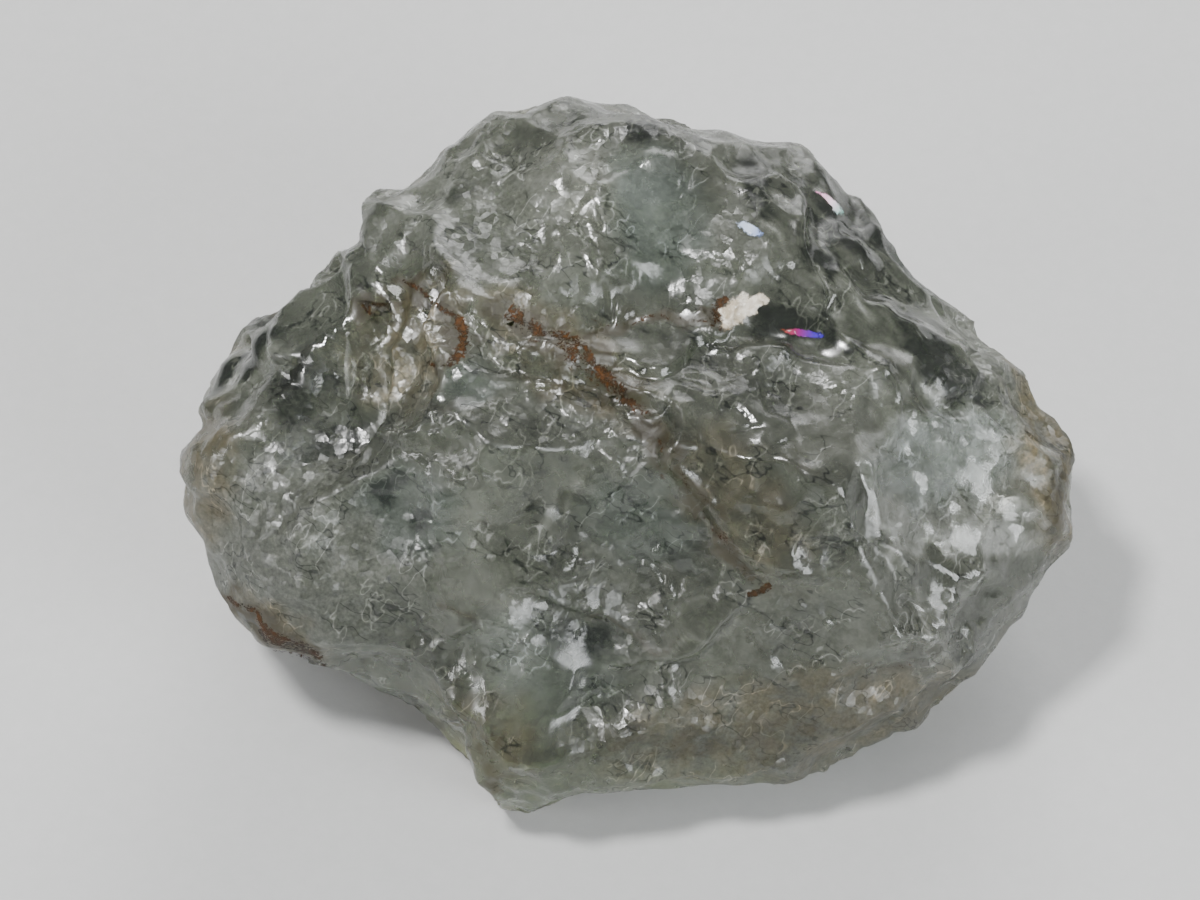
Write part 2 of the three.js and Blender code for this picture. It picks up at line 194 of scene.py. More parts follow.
# Lighter and, below 0, darker places: place, half length and half width, turn, strength.
# The darker patches are painted shade, where the clear crystal or a gap is seen into; the lighter ones
# are partly milky cloud and partly painted light on crests and ridges.
CLOUD_AND_PAINTED_LIGHT_PATCHES = [
    ((-11.9, 2.9), (1.6, 0.42), 40, -1.0),  # gap before the small lobe
    ((-9.7, 2.6), (3.6, 0.9), 66, -0.5),  # trough
    ((-9.2, 0.3), (1.8, 0.35), 24, -0.6),
    ((-6.6, 3.2), (1.8, 1.3), 70, 0.2),  # thumbprint
    ((-7.1, 2.1), (1.1, 0.35), 30, 0.9),
    ((-4.4, 4.9), (1.6, 1.0), 50, 0.35),  # saddle
    ((-3.4, 10.6), (2.8, 0.5), 8, 0.6),  # crest of the dome
    ((-1.2, 7.4), (2.6, 2.2), 0, 0.25),
    ((0.6, 10.0), (1.0, 0.4), 10, -0.8),
    ((-5.0, 8.0), (0.45, 0.6), 0, -0.6),
    ((3.8, 8.3), (0.5, 1.2), 30, -0.8),  # right shoulder
    ((5.7, 5.9), (0.8, 0.45), -40, -0.7),
    ((4.7, 3.9), (1.3, 0.55), -14, -1.0),  # dark window
    ((6.5, 3.4), (0.6, 0.6), -10, -0.9),
    ((9.3, 2.9), (2.4, 0.75), -46, -0.9),
    ((7.2, 7.4), (3.0, 1.5), -44, -0.5),
    ((8.0, 1.4), (0.6, 1.4), 30, 0.6),
    ((6.8, 5.0), (0.9, 0.3), -50, 1.0),
    ((-7.2, -0.9), (0.55, 0.4), 0, -0.9),  # small windows
    ((-6.4, -2.0), (0.6, 0.5), 0, -0.7),
    ((-6.0, -2.8), (0.7, 0.25), 10, -0.6),
    ((-1.5, -5.6), (0.8, 1.3), 30, -0.35),
    ((0.4, -8.8), (3.4, 0.7), 4, -0.45),  # lower band
    ((-10.6, -3.0), (3.0, 2.0), -20, 0.2),  # left cheek
    ((-5.0, -4.4), (3.4, 1.6), -40, 0.25),
    ((-3.4, -6.4), (1.4, 1.2), -30, 0.35),
    ((1.5, 0.6), (2.6, 0.5), -52, -0.3),
    ((2.2, -0.2), (2.4, 1.6), -50, -0.1),
]
# The bright flaw inside the right cheek: its corners, counter-clockwise.
BRIGHT_FLAW = [(6.5, 0.4), (6.9, -0.9), (8.1, -2.8), (12.8, -2.7), (12.9, 0.4), (10.4, 1.6), (8.2, 1.4)]
# Painted highlights: lines of light along ridges and edges, added to the tone: line, half width,
# strength.
PAINTED_HIGHLIGHT_LINES = [
    ([(7.4, -1.6), (8.3, -3.2), (9.4, -5.8), (10.2, -7.0)], 0.1, 0.8),  # ridge under the right cheek
    ([(8.2, -2.8), (10.4, -2.8), (12.8, -2.7)], 0.13, 1.0),
    ([(10.9, -2.8), (12.6, -2.75)], 0.3, 1.5),
    ([(3.9, 7.3), (5.0, 6.0), (6.2, 5.0)], 0.14, 0.9),  # right shoulder
    ([(6.1, 4.4), (6.7, 3.6)], 0.14, 0.9),
    ([(7.7, 4.4), (8.9, 2.2), (9.4, 1.6)], 0.16, 0.8),
    ([(8.6, 6.3), (10.2, 3.6)], 0.14, 0.5),
    ([(-13.4, 1.2), (-11.6, 2.4), (-10.4, 3.4)], 0.12, 0.8),
    ([(-8.4, 9.6), (-9.8, 7.2), (-10.9, 5.3)], 0.12, 0.3),
    ([(3.2, -5.0), (1.6, -5.9), (-0.6, -6.5)], 0.12, 0.7),  # lower ledge
    ([(-5.3, 2.4), (-6.2, 1.6), (-6.0, 0.4)], 0.14, 0.5),
    ([(-2.2, -1.2), (-2.9, -2.8)], 0.08, 0.7),
    ([(-1.5, -0.6), (-2.2, -3.2)], 0.08, 0.5),
    ([(3.5, 8.6), (2.2, 10.2), (0.4, 10.9)], 0.1, 0.6),
]
LADDER = ((5.9, -2.3), (6.3, -3.3), 7, 0.28)  # chatter marks: first and last place, count, half length
# Tan places, mostly where the crystal is thin.
WARM_PATCHES = [
    ((13.4, 0.2), (1.6, 4.6), 10, 1.0), ((11.6, 4.6), (3.4, 1.0), -52, 0.7),  # right rim
    ((-13.0, -0.6), (1.2, 2.6), -10, 0.8), ((-11.2, -5.6), (2.2, 1.2), -30, 1.0),  # left rim
    ((4.6, -8.4), (6.4, 1.8), 10, 0.8), ((-4.6, -9.0), (2.2, 1.8), -50, 0.6),  # below
    ((-6.6, 3.6), (2.4, 1.7), 66, 0.8), ((-2.0, 3.0), (3.2, 1.4), -34, 0.8),
    ((3.2, -1.4), (3.4, 1.6), -48, 0.5), ((-12.2, 3.9), (1.3, 0.6), 40, 0.7),
]
# Bluish places, where light comes straight through.
COOL_PATCHES = [
    ((0.9, 7.2), (1.6, 2.6), 10, 1.0), ((0.4, -2.0), (2.0, 1.5), -30, 0.8),
    ((-6.6, -1.6), (1.8, 1.5), -40, 0.9), ((9.4, 0.0), (2.4, 1.6), 10, 0.6),
    ((-2.4, -6.2), (2.6, 1.8), -20, 0.6), ((-5.0, 2.0), (0.9, 0.6), 20, 0.8),
]
# Streaked places, frosted skin and polished windows.
STREAK_PATCHES = [((7.8, 5.0), (6.0, 3.0), -46, 1.0), ((0.2, -0.4), (6.0, 4.0), -40, 0.5)]
FROST_PATCHES = [
    ((-9.9, -2.8), (4.6, 4.0), -20, 1.0),  # left cheek
    ((-4.6, 7.6), (3.0, 2.4), 8, 0.7), ((3.0, 6.4), (1.8, 1.2), 8, 0.6),  # dome
    ((4.0, -8.6), (6.5, 2.0), 10, 0.9),  # lower band
    ((12.3, 1.8), (1.8, 4.6), 22, 1.0),  # right rim
    ((-6.6, 3.2), (1.8, 1.4), 60, 0.7),  # thumbprint
]
CLEAR_PATCHES = [
    ((5.6, 4.0), (2.6, 1.2), -16, 1.0),  # dark window
    ((-9.8, 3.0), (3.6, 1.0), 64, 0.8), ((-11.9, 2.9), (1.6, 0.6), 40, 1.0),  # trough and gap
    ((7.8, 6.0), (3.6, 2.2), -46, 0.9),  # right shoulder
    ((-6.3, -1.5), (1.2, 1.0), -40, 0.9), ((0.8, 7.2), (1.2, 2.2), 10, 0.9),
    ((-1.6, -6.6), (1.5, 1.2), -20, 1.0), ((2.2, -5.2), (0.8, 0.5), 20, 1.0),
    ((11.6, -2.6), (1.4, 0.5), 6, 1.0),
]

# Veils inside: place, half length and half width, turn, depth under the skin,
# tilt in degrees across and up, cloudiness.
VEILS = [
    ((-1.8, 8.0), (3.6, 2.0), 12, 1.2, (14, -8), 0.8),
    ((1.4, 6.2), (1.7, 1.3), -60, 0.7, (-18, 10), 0.9),
    ((-6.7, 2.6), (1.7, 1.2), 50, 0.6, (10, 14), 0.8),
    ((-3.0, 0.0), (3.4, 2.2), -40, 1.4, (-12, 6), 0.5),
    ((1.6, -1.8), (3.2, 1.6), -42, 0.9, (20, -14), 0.6),
    ((9.9, -1.2), (2.9, 1.8), 10, 0.7, (8, -10), 0.9),
    ((-9.4, -2.6), (3.2, 2.4), -24, 1.0, (12, 12), 0.8),
    ((-2.2, -5.2), (2.6, 1.4), -26, 0.7, (-16, -10), 0.9),
    ((4.6, -8.0), (4.2, 1.3), 12, 0.9, (6, -16), 0.6),
    ((6.4, -3.6), (1.6, 2.6), 22, 0.9, (26, 4), 0.5),
    ((8.6, 4.4), (3.2, 0.9), -50, 0.8, (-8, 22), 0.6),
    ((-5.2, -2.0), (1.9, 1.3), 30, 0.8, (-24, 8), 0.7),
]
VEIL_STEPS = 40
VEIL_COVER = 0.2  # of the crystal over a veil, at least
# Cracks that run in from the skin: line, depth, lean in degrees, rust.
CRACK_SHEETS = [
    (MAIN_CRACK, 2.6, 28, 1.0),
    ([(-8.2, 4.9), (-6.8, 4.8), (-5.9, 4.5), (-5.15, 3.4), (-5.2, 2.8)], 1.6, -30, 1.0),
    ([(-1.4, -4.4), (-2.0, -6.6), (-1.2, -8.4)], 1.8, 34, 0.25),
    ([(5.9, -0.9), (6.4, -3.0), (8.4, -3.2)], 1.7, -24, 0.25),
    ([(0.4, 8.4), (1.2, 6.6), (1.5, 5.2)], 1.5, 30, 0.25),
    ([(-9.6, 6.0), (-8.6, 3.4), (-8.2, 1.4)], 1.6, 20, 0.25),
    ([(2.2, 3.2), (3.3, 1.6), (4.4, 0.4)], 2.0, -32, 0.25),
]
CRACK_STEPS = (90, 14)

# Cracks thin enough to colour the light: place, half length and half width, turn in degrees,
# and the colours from their first end to the other.
RAINBOW_CRACKS = [
    ((5.3, 3.68), (0.78, 0.14), -8,
     [(0.34, 0.07, 0.01), (0.24, 0.02, 0.10), (0.06, 0.02, 0.36), (0.02, 0.02, 0.26)]),
    ((6.2, 7.75), (0.62, 0.22), -36, [(0.75, 0.22, 0.45), (0.8, 0.6, 0.7), (0.10, 0.50, 0.38)]),
    ((3.65, 6.85), (0.5, 0.2), -30, [(0.35, 0.42, 0.55), (0.45, 0.52, 0.62), (0.12, 0.2, 0.5)]),
]
RAINBOW_LIFT = 0.02
RUST_LIFT = 0.008
RUST_STEP = 0.1
# The crushed white bruise: place, half length and half width, turn in degrees,
# and the waves round its edge: count, size, turn.
BRUISE = ((3.35, 4.38), (1.0, 0.55), 24)
BRUISE_RAGGED = [(2, 0.10, 0.4), (3, 0.12, 2.1), (5, 0.09, 0.9), (9, 0.06, 4.0)]

# Camera and stage.
KEY_PLACE = np.array([-80.0, -30.0, 240.0])  # from the middle of the lump
VIEW_DISTANCE = 150.0  # from the middle of the lump
VIEW_WIDTH = 37.5  # that the photograph's width spans there
AIM_OFFSET = (-0.875, 0.156)  # from the middle of the lump to the middle of the frame
SENSOR_WIDTH = 36.0
FLOOR_SIZE = 3000.0
FLOOR_DROP = 0.01
PAPER_COLOURS = ((0.42, 0.42, 0.415), (0.48, 0.48, 0.475))
ROOM_COLOUR, ROOM_STRENGTH = (0.80, 0.82, 0.85), 0.3
# Soft lights: place from the middle of the lump, diameter, watts, colour.
LIGHTS = {
    "key": (KEY_PLACE, 40, 0.85, (1, 1, 1)),
    "fill": ((200, -180, 140), 200, 1.0, (0.95, 0.98, 1.0)),
    "side": ((-240, -100, 100), 120, 0.4, (1, 1, 1)),
    "back": ((60, 260, 120), 220, 1.4, (1, 1, 1)),
}


def fraction(value):
    return value - np.floor(value)


def scatter(index, kind):
    """Repeatable scattered numbers from 0 to 1: the fraction of a large sine of index and kind."""
    return fraction(np.sin(index * 12.9898 + kind * 78.233) * 43758.5453)


def ease(value, low, high):
    """0 below low, 1 above high, and 3t squared less 2t cubed between them."""
    share = np.clip((value - low) / (high - low), 0, 1)
    return share * share * (3 - 2 * share)


def blend(start, end, share):
    return start + (end - start) * share


def unit(vectors):
    return vectors / np.linalg.norm(vectors, axis=-1, keepdims=True)


def on_sphere(height, turn):
    """Directions at a height from -1 to 1 and a turn: level = sqrt(1 - height squared)."""
    level = np.sqrt(1 - height * height)
    return np.stack([level * np.cos(turn), level * np.sin(turn), height * np.ones_like(turn)], -1)


WAVE_INDEX = np.arange(WAVE_COUNT)
WAVE_DIRECTIONS = on_sphere(1 - (2 * WAVE_INDEX + 1) / WAVE_COUNT, WAVE_INDEX * GOLDEN_TURN)


def rim_radius(angle):
    """The outline's radius at an angle, eased from each point of RIM to the next."""
    degrees = np.degrees(angle) % 360
    starts = np.array([point[0] for point in RIM] + [360.0])
    radii = np.array([point[1] for point in RIM] + [RIM[0][1]])
    index = np.clip(np.searchsorted(starts, degrees, side="right") - 1, 0, len(RIM) - 1)
    return blend(radii[index], radii[index + 1], ease(degrees, starts[index], starts[index + 1]))


def ball_distance(directions, centre, radius):
    """Distance along each direction to the near side of a ball: a - sqrt(a^2 - c^2 + r^2)."""
    along = directions @ centre
    left = along ** 2 - centre @ centre + radius ** 2
    near = along - np.sqrt(np.maximum(left, 0))
    return np.where((left > 0) & (along > 0), near, np.inf)


def lump_radius(directions):
    """The broken lump: the bulging rim and every break, joined by a sum of high powers."""
    rim = rim_radius(np.arctan2(directions[:, 1], directions[:, 0]))
    bulge = np.where(directions[:, 2] > 0, CROWN_BULGE, BACK_BULGE)
    level = np.hypot(directions[:, 0], directions[:, 1])
    total = np.hypot(level / rim, directions[:, 2] / bulge) ** EDGE_SHARPNESS
    for around, tilt, distance, radius in BREAKS:
        normal = on_sphere(np.cos(np.radians([tilt])), np.radians([around]))[0]
        if radius:
            closeness = 1 / ball_distance(directions, normal * (distance + radius), radius)
        else:
            closeness = np.maximum(directions @ normal / distance, 0)
        total += closeness ** EDGE_SHARPNESS
    return total ** (-1 / EDGE_SHARPNESS)


def lump_places(directions):
    return directions * lump_radius(directions)[:, None]


def lump_normals(directions):
    """Outward normals of the broken lump, from four places close round each direction."""
    aside = unit(np.cross(directions, [0.31, 0.52, 0.79]))
    over = np.cross(directions, aside)

    def stepped(way, step):
        return lump_places(unit(directions + step * way))

    along_aside = stepped(aside, NORMAL_STEP) - stepped(aside, -NORMAL_STEP)
    along_over = stepped(over, NORMAL_STEP) - stepped(over, -NORMAL_STEP)
    return unit(np.cross(along_aside, along_over))


def chip_balls(layer, first_index):
    """Centres and radii of the balls that hollow one layer of chips out."""
    count, radii, depths, lean, clear = layer
    index = np.arange(count) + first_index
    if clear:
        height = blend(clear, 1, scatter(index, 1)) * np.where(scatter(index, 7) < 0.5, -1, 1)
    else:
        height = 2 * scatter(index, 1) - 1
    directions = on_sphere(height, 2 * np.pi * scatter(index, 2))
    size = scatter(index, 3) ** 2
    radius = blend(radii[0], radii[1], size)
    depth = blend(depths[0], depths[1], size)
    leaning = 2 * np.stack([scatter(index, kind) for kind in (4, 5, 6)], -1) - 1
    axis = unit(lump_normals(directions) + lean * leaning)
    return lump_places(directions) + axis * (radius - depth)[:, None], radius


def glint_balls():
    """Centres and radii of the polished chips, whose axis lies half-way to the key light."""
    key = unit(KEY_PLACE @ np.stack([ACROSS, UP, OUT], -1))
    axis = unit(key + [0, 0, 1])
    places = np.array([at for at, _, _ in GLINTS])
    radius = np.array([ball for _, ball, _ in GLINTS])
    depth = np.array([low for _, _, low in GLINTS])
    out = np.full(len(places), START_OUT)
    for _ in range(SOLVE_STEPS):
        directions = unit(np.column_stack([places, out]))
        level = (places ** 2).sum(1)
        out = (out + np.sqrt(np.maximum(lump_radius(directions) ** 2 - level, 0.01))) / 2
    return np.column_stack([places, out]) + (radius - depth)[:, None] * axis, radius


def chipped(directions, radius, balls):
    """Radii once a layer of chips is gone: each ball joins as -w log(exp(-r/w) + exp(-t/w)).

    A ball of radius b round c is only met by directions d with d.c above sqrt(c.c - b^2).
    """
    left = radius.copy()
    for centre, ball in zip(*balls):
        met = np.flatnonzero(directions @ centre > math.sqrt(max(centre @ centre - ball ** 2, 0)))
        distance = ball_distance(directions[met], centre, ball)
        near = distance < left[met] + 4 * CHIP_BLEND
        met, distance = met[near], distance[near]
        gap = np.clip((left[met] - distance) / CHIP_BLEND, -50, 50)
        left[met] = distance - CHIP_BLEND * np.log(1 + np.exp(-gap))
    return left


def waves(places, wavelength, kind):
    """A sum of sine waves, one along each wave direction, of a height of about 1."""
    stretch = 0.7 + 0.6 * fraction((WAVE_INDEX + kind) * GOLDEN_SHARE)
    phase = places @ WAVE_DIRECTIONS.T / (wavelength * stretch)
    phase = phase + (WAVE_INDEX + 1 + kind) ** 2 * GOLDEN_SHARE
    return np.sin(2 * np.pi * phase).sum(1) / math.sqrt(WAVE_COUNT / 2)


def shifted(places):
    """Places moved sideways by slow waves, so that no feature runs straight."""
    moved = places.copy()
    for layer, (wavelength, size) in enumerate(SHIFTS):
        moved[:, 0] += size * waves(places, wavelength, 2 * layer + 3)
        moved[:, 1] += size * waves(moved, wavelength, 2 * layer + 4)
    return moved


def bowl(places, at, size, turn):
    """1 at the middle of an ellipse, 0 on its edge and less outside: 1 - (a/A)^2 - (b/B)^2."""
    cosine, sine = math.cos(math.radians(turn)), math.sin(math.radians(turn))
    across, up = places[:, 0] - at[0], places[:, 1] - at[1]
    along, aside = across * cosine + up * sine, up * cosine - across * sine
    return 1 - (along / size[0]) ** 2 - (aside / size[1]) ** 2


def from_line(places, line, end_fade):
    """Distance from a line, its side (1 is left), and 1 along it that fades past its ends."""
    nearest = np.full(len(places), np.inf)
    side = np.ones(len(places))
    along = np.ones(len(places))
    for i, ((start_x, start_y), (end_x, end_y)) in enumerate(zip(line, line[1:])):
        step_x, step_y = end_x - start_x, end_y - start_y
        length = math.hypot(step_x, step_y)
        share = ((places[:, 0] - start_x) * step_x + (places[:, 1] - start_y) * step_y) / length ** 2
        kept = np.clip(share, 0, 1)
        gap_x = places[:, 0] - start_x - kept * step_x
        gap_y = places[:, 1] - start_y - kept * step_y
        distance = np.hypot(gap_x, gap_y)
        at_end = ((i == 0) & (share < 0)) | ((i + 2 == len(line)) & (share > 1))
        past = np.where(at_end, np.abs(share - kept) * length, 0)
        closer = distance < nearest
        nearest[closer] = distance[closer]
        side[closer] = np.where(step_x * gap_y - step_y * gap_x < 0, -1, 1)[closer]
        along[closer] = np.maximum(0, 1 - past / end_fade)[closer]
    return nearest, side, along


def relief(places):
    """Ledges and ridges less the deepest hollow at each place of the broad face."""
    height = np.zeros(len(places))
    for line, size, fade in LEDGES:
        distance, side, along = from_line(places, line, fade)
        inside = distance * side
        height += size * along * ease(inside, *LEDGE_SLOPE) * np.exp(-np.maximum(inside, 0) / fade)
    for line, size, width in RIDGES:
        distance, _, along = from_line(places, line, RIDGE_END * width)
        height += size * along * np.exp(-(distance / width) ** 2)
    deepest = np.zeros(len(places))
    for at, size, turn, depth in HOLLOWS:
        deepest = np.maximum(deepest, depth * bowl(places, at, size, turn))
    return height - deepest


def wear(places, layers):
    return sum(size * waves(places, wavelength, layer) for layer, (wavelength, size) in enumerate(layers))


def to_frame(places):
    """From [across, up, out] to the frame, in millimetres, cut off flat at the ground."""
    points = MIDDLE + places[:, :1] * ACROSS + places[:, 1:2] * UP + places[:, 2:] * OUT
    share = np.where(points[:, 2] < 0, MIDDLE[2] / (MIDDLE[2] - points[:, 2]), 1.0)
    return MIDDLE + (points - MIDDLE) * share[:, None]


def facet_relief(directions, places, layer, first_index):
    """Height of flat cells: h = (place - cell's own place) . tilt for the cell nearest in direction,
    and greatest height x tanh(h / greatest height), so that none grows into a spike.
    """
    count, slope, greatest, waviness = layer
    index = np.arange(count) + first_index
    cells = on_sphere(2 * scatter(index, 1) - 1, 2 * np.pi * scatter(index, 2))
    tilts = (2 * np.stack([scatter(index, kind) for kind in (3, 4, 5)], -1) - 1) * slope
    cell_places = lump_places(cells)
    bent = np.stack([waves(places, 1.6, 31 + axis) for axis in range(3)], -1)
    bent = unit(directions + waviness * bent)
    nearest = np.concatenate([(part @ cells.T).argmax(1) for part in np.array_split(bent, 40)])
    height = ((places - cell_places[nearest]) * tilts[nearest]).sum(1)
    return greatest * np.tanh(height / greatest)


def skin_radii(directions):
    """The finished skin's radii: breaks, then chips, relief and wear."""
    radius = lump_radius(directions)
    places = directions * radius[:, None]
    broad = ease(places[:, 2], *SIDE_EASE)
    raised = relief(shifted(places)) * broad + wear(places, WEAR) + wear(places, FINE_WEAR)
    left = chipped(directions, radius, chip_balls(CHIPS, 1))
    left = chipped(directions, left, chip_balls(FINE_CHIPS, 1001))
    busy = np.clip(0.75 + 0.45 * waves(places, 4.0, 41), 0.15, 1.3)
    busy = busy * (1 - 0.85 * patch_strength(places, CLEAR_PATCHES) * broad)
    for number, layer in enumerate(FACETS):
        raised += busy * facet_relief(directions, places, layer, 5001 * (number + 1))
    left = chipped(directions, left, glint_balls())
    return left + raised


def cube_sphere(steps):
    """Directions on the six faces of a cube's grid blown up to a sphere, and the cells' corners.

    Grid lines stand at tan of even angles, and the six faces share their edge points.
    """
    line = np.arange(-steps, steps + 1, 2)
    rows, columns = (axis.ravel() for axis in np.meshgrid(line, line, indexing="ij"))
    sides = []
    for axis in range(3):
        for sign in (1, -1):
            side = np.empty((len(rows), 3), int)
            side[:, axis] = sign * steps
            side[:, (axis + 1) % 3] = rows
            side[:, (axis + 2) % 3] = columns
            sides.append(side)
    merged, corners = np.unique(np.concatenate(sides), axis=0, return_inverse=True)
    return unit(np.tan(merged / steps * math.pi / 4)), corners.reshape(6, steps + 1, steps + 1)


class Skin:
    """The crystal's skin, worked out once on the cube's grid."""

    def __init__(self, steps):
        self.steps = steps
        self.directions, self.corners = cube_sphere(steps)
        self.radii = skin_radii(self.directions)
        self.places = self.directions * self.radii[:, None]
        quads = np.stack([self.corners[:, :-1, :-1], self.corners[:, 1:, :-1],
                          self.corners[:, 1:, 1:], self.corners[:, :-1, 1:]], -1)
        quads[1::2] = quads[1::2, :, :, ::-1]
        self.faces = quads.reshape(-1, 4)

    def radius_towards(self, directions):
        """Radii between the grid's points, blended along both grid lines of a cube's side."""
        axis = np.abs(directions).argmax(1)
        own = np.arange(len(axis))
        depth = directions[own, axis]
        row = directions[own, (axis + 1) % 3] / np.abs(depth)
        column = directions[own, (axis + 2) % 3] / np.abs(depth)
        row = (np.arctan(row) * 4 / math.pi + 1) / 2 * self.steps
        column = (np.arctan(column) * 4 / math.pi + 1) / 2 * self.steps
        low_row = np.clip(row.astype(int), 0, self.steps - 1)
        low_column = np.clip(column.astype(int), 0, self.steps - 1)
        side = 2 * axis + (depth < 0)

        def corner(step_row, step_column):
            return self.radii[self.corners[side, low_row + step_row, low_column + step_column]]

        start = blend(corner(0, 0), corner(1, 0), row - low_row)
        end = blend(corner(0, 1), corner(1, 1), row - low_row)
        return blend(start, end, column - low_column)

    def over(self, across, up):
        """How far out the broad face's skin is at [across, up]: out = sqrt(radius^2 - a^2 - u^2),
        solved by going half of the way there again and again."""
        level = across ** 2 + up ** 2
        out = np.full(across.shape, START_OUT)
        for _ in range(SOLVE_STEPS):
            radius = self.radius_towards(unit(np.stack([across, up, out], -1)))
            out = (out + np.sqrt(np.maximum(radius ** 2 - level, 0.01))) / 2
        return out


@functools.cache
def skin_with(steps):
    return Skin(steps)


def crystal_skin():
    return skin_with(settings_now().skin_steps)


def patch_strength(places, patches):
    """The strongest of some soft-edged patches at each place."""
    strongest = np.zeros(len(places))
    for at, size, turn, strength in patches:
        strongest = np.maximum(strongest, strength * ease(bowl(places, at, size, turn), -0.4, 0.8))
    return strongest


def line_strength(places, lines):
    """The strongest of some soft-sided lines at each place: exp(-(distance / half width)^2)."""
    strongest = np.zeros(len(places))
    for line, width, strength in lines:
        distance, _, along = from_line(places, line, 2 * width)
        strongest = np.maximum(strongest, strength * along * np.exp(-(distance / width) ** 2))
    return strongest


def inside_outline(places, corners):
    """The distance to the nearest side of a bulging outline, above 0 inside it."""
    nearest = np.full(len(places), np.inf)
    for (start_x, start_y), (end_x, end_y) in zip(corners, corners[1:] + corners[:1]):
        step_x, step_y = end_x - start_x, end_y - start_y
        cross = step_x * (places[:, 1] - start_y) - step_y * (places[:, 0] - start_x)
        nearest = np.minimum(nearest, cross / math.hypot(step_x, step_y))
    return nearest


def wobbled(places, size=0.14):
    """Places moved a little sideways by short waves, so that drawn edges look broken."""
    moved = places.copy()
    moved[:, 0] += size * waves(places, 1.3, 21)
    moved[:, 1] += size * waves(places, 1.3, 22)
    return moved


def cloud_and_painted_light(places):
    """How much lighter or, below 0, darker the crystal is painted than its average: milky cloud and
    marks, with painted shade in its windows and gaps and painted highlights on its ridges.
    """
    tone = np.zeros(len(places))
    for at, size, turn, strength in CLOUD_AND_PAINTED_LIGHT_PATCHES:
        tone += strength * ease(bowl(places, at, size, turn), -0.4, 0.8)
    flaw = inside_outline(places, BRIGHT_FLAW)
    tone += 0.9 * ease(flaw, -0.08, 0.12) * (1 - 0.25 * ease(flaw, 0.2, 1.2))
    # painted highlights along ridges and edges
    tone += line_strength(places, PAINTED_HIGHLIGHT_LINES)
    (first, last, count, half_length) = LADDER
    for share in np.linspace(0, 1, count):
        x, y = blend(first[0], last[0], share), blend(first[1], last[1], share)
        rung = [(x - half_length, y - 0.1), (x + half_length, y + 0.1)]
        tone -= line_strength(places, [(rung, 0.06, 0.8)])
    return np.clip(tone, -1, 1.3)


def new_mesh(name, points, faces, smooth=True):
    """A mesh object at the origin, from points in millimetres in the frame."""
    mesh = bpy.data.meshes.new(name)
    mesh.from_pydata((points * MM).tolist(), [], faces if isinstance(faces, list) else faces.tolist())
    mesh.validate()
    mesh.polygons.foreach_set("use_smooth", np.full(len(mesh.polygons), smooth))
    obj = bpy.data.objects.new(name, mesh)
    bpy.context.scene.collection.objects.link(obj)
    return obj


def add_attribute(obj, name, values):
    attribute = obj.data.attributes.new(name, "FLOAT", "POINT")
    attribute.data.foreach_set("value", np.asarray(values, np.float32))


def grid_faces(rows, columns, offset=0):
    """Four-cornered faces of a grid of places, row after row."""
    corners = np.arange(rows * columns).reshape(rows, columns) + offset
    faces = np.stack([corners[:-1, :-1], corners[:-1, 1:], corners[1:, 1:], corners[1:, :-1]], -1)
    return faces.reshape(-1, 4)


def finish_piece(obj, material):
    obj.data.materials.append(material)
    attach(obj, "root")


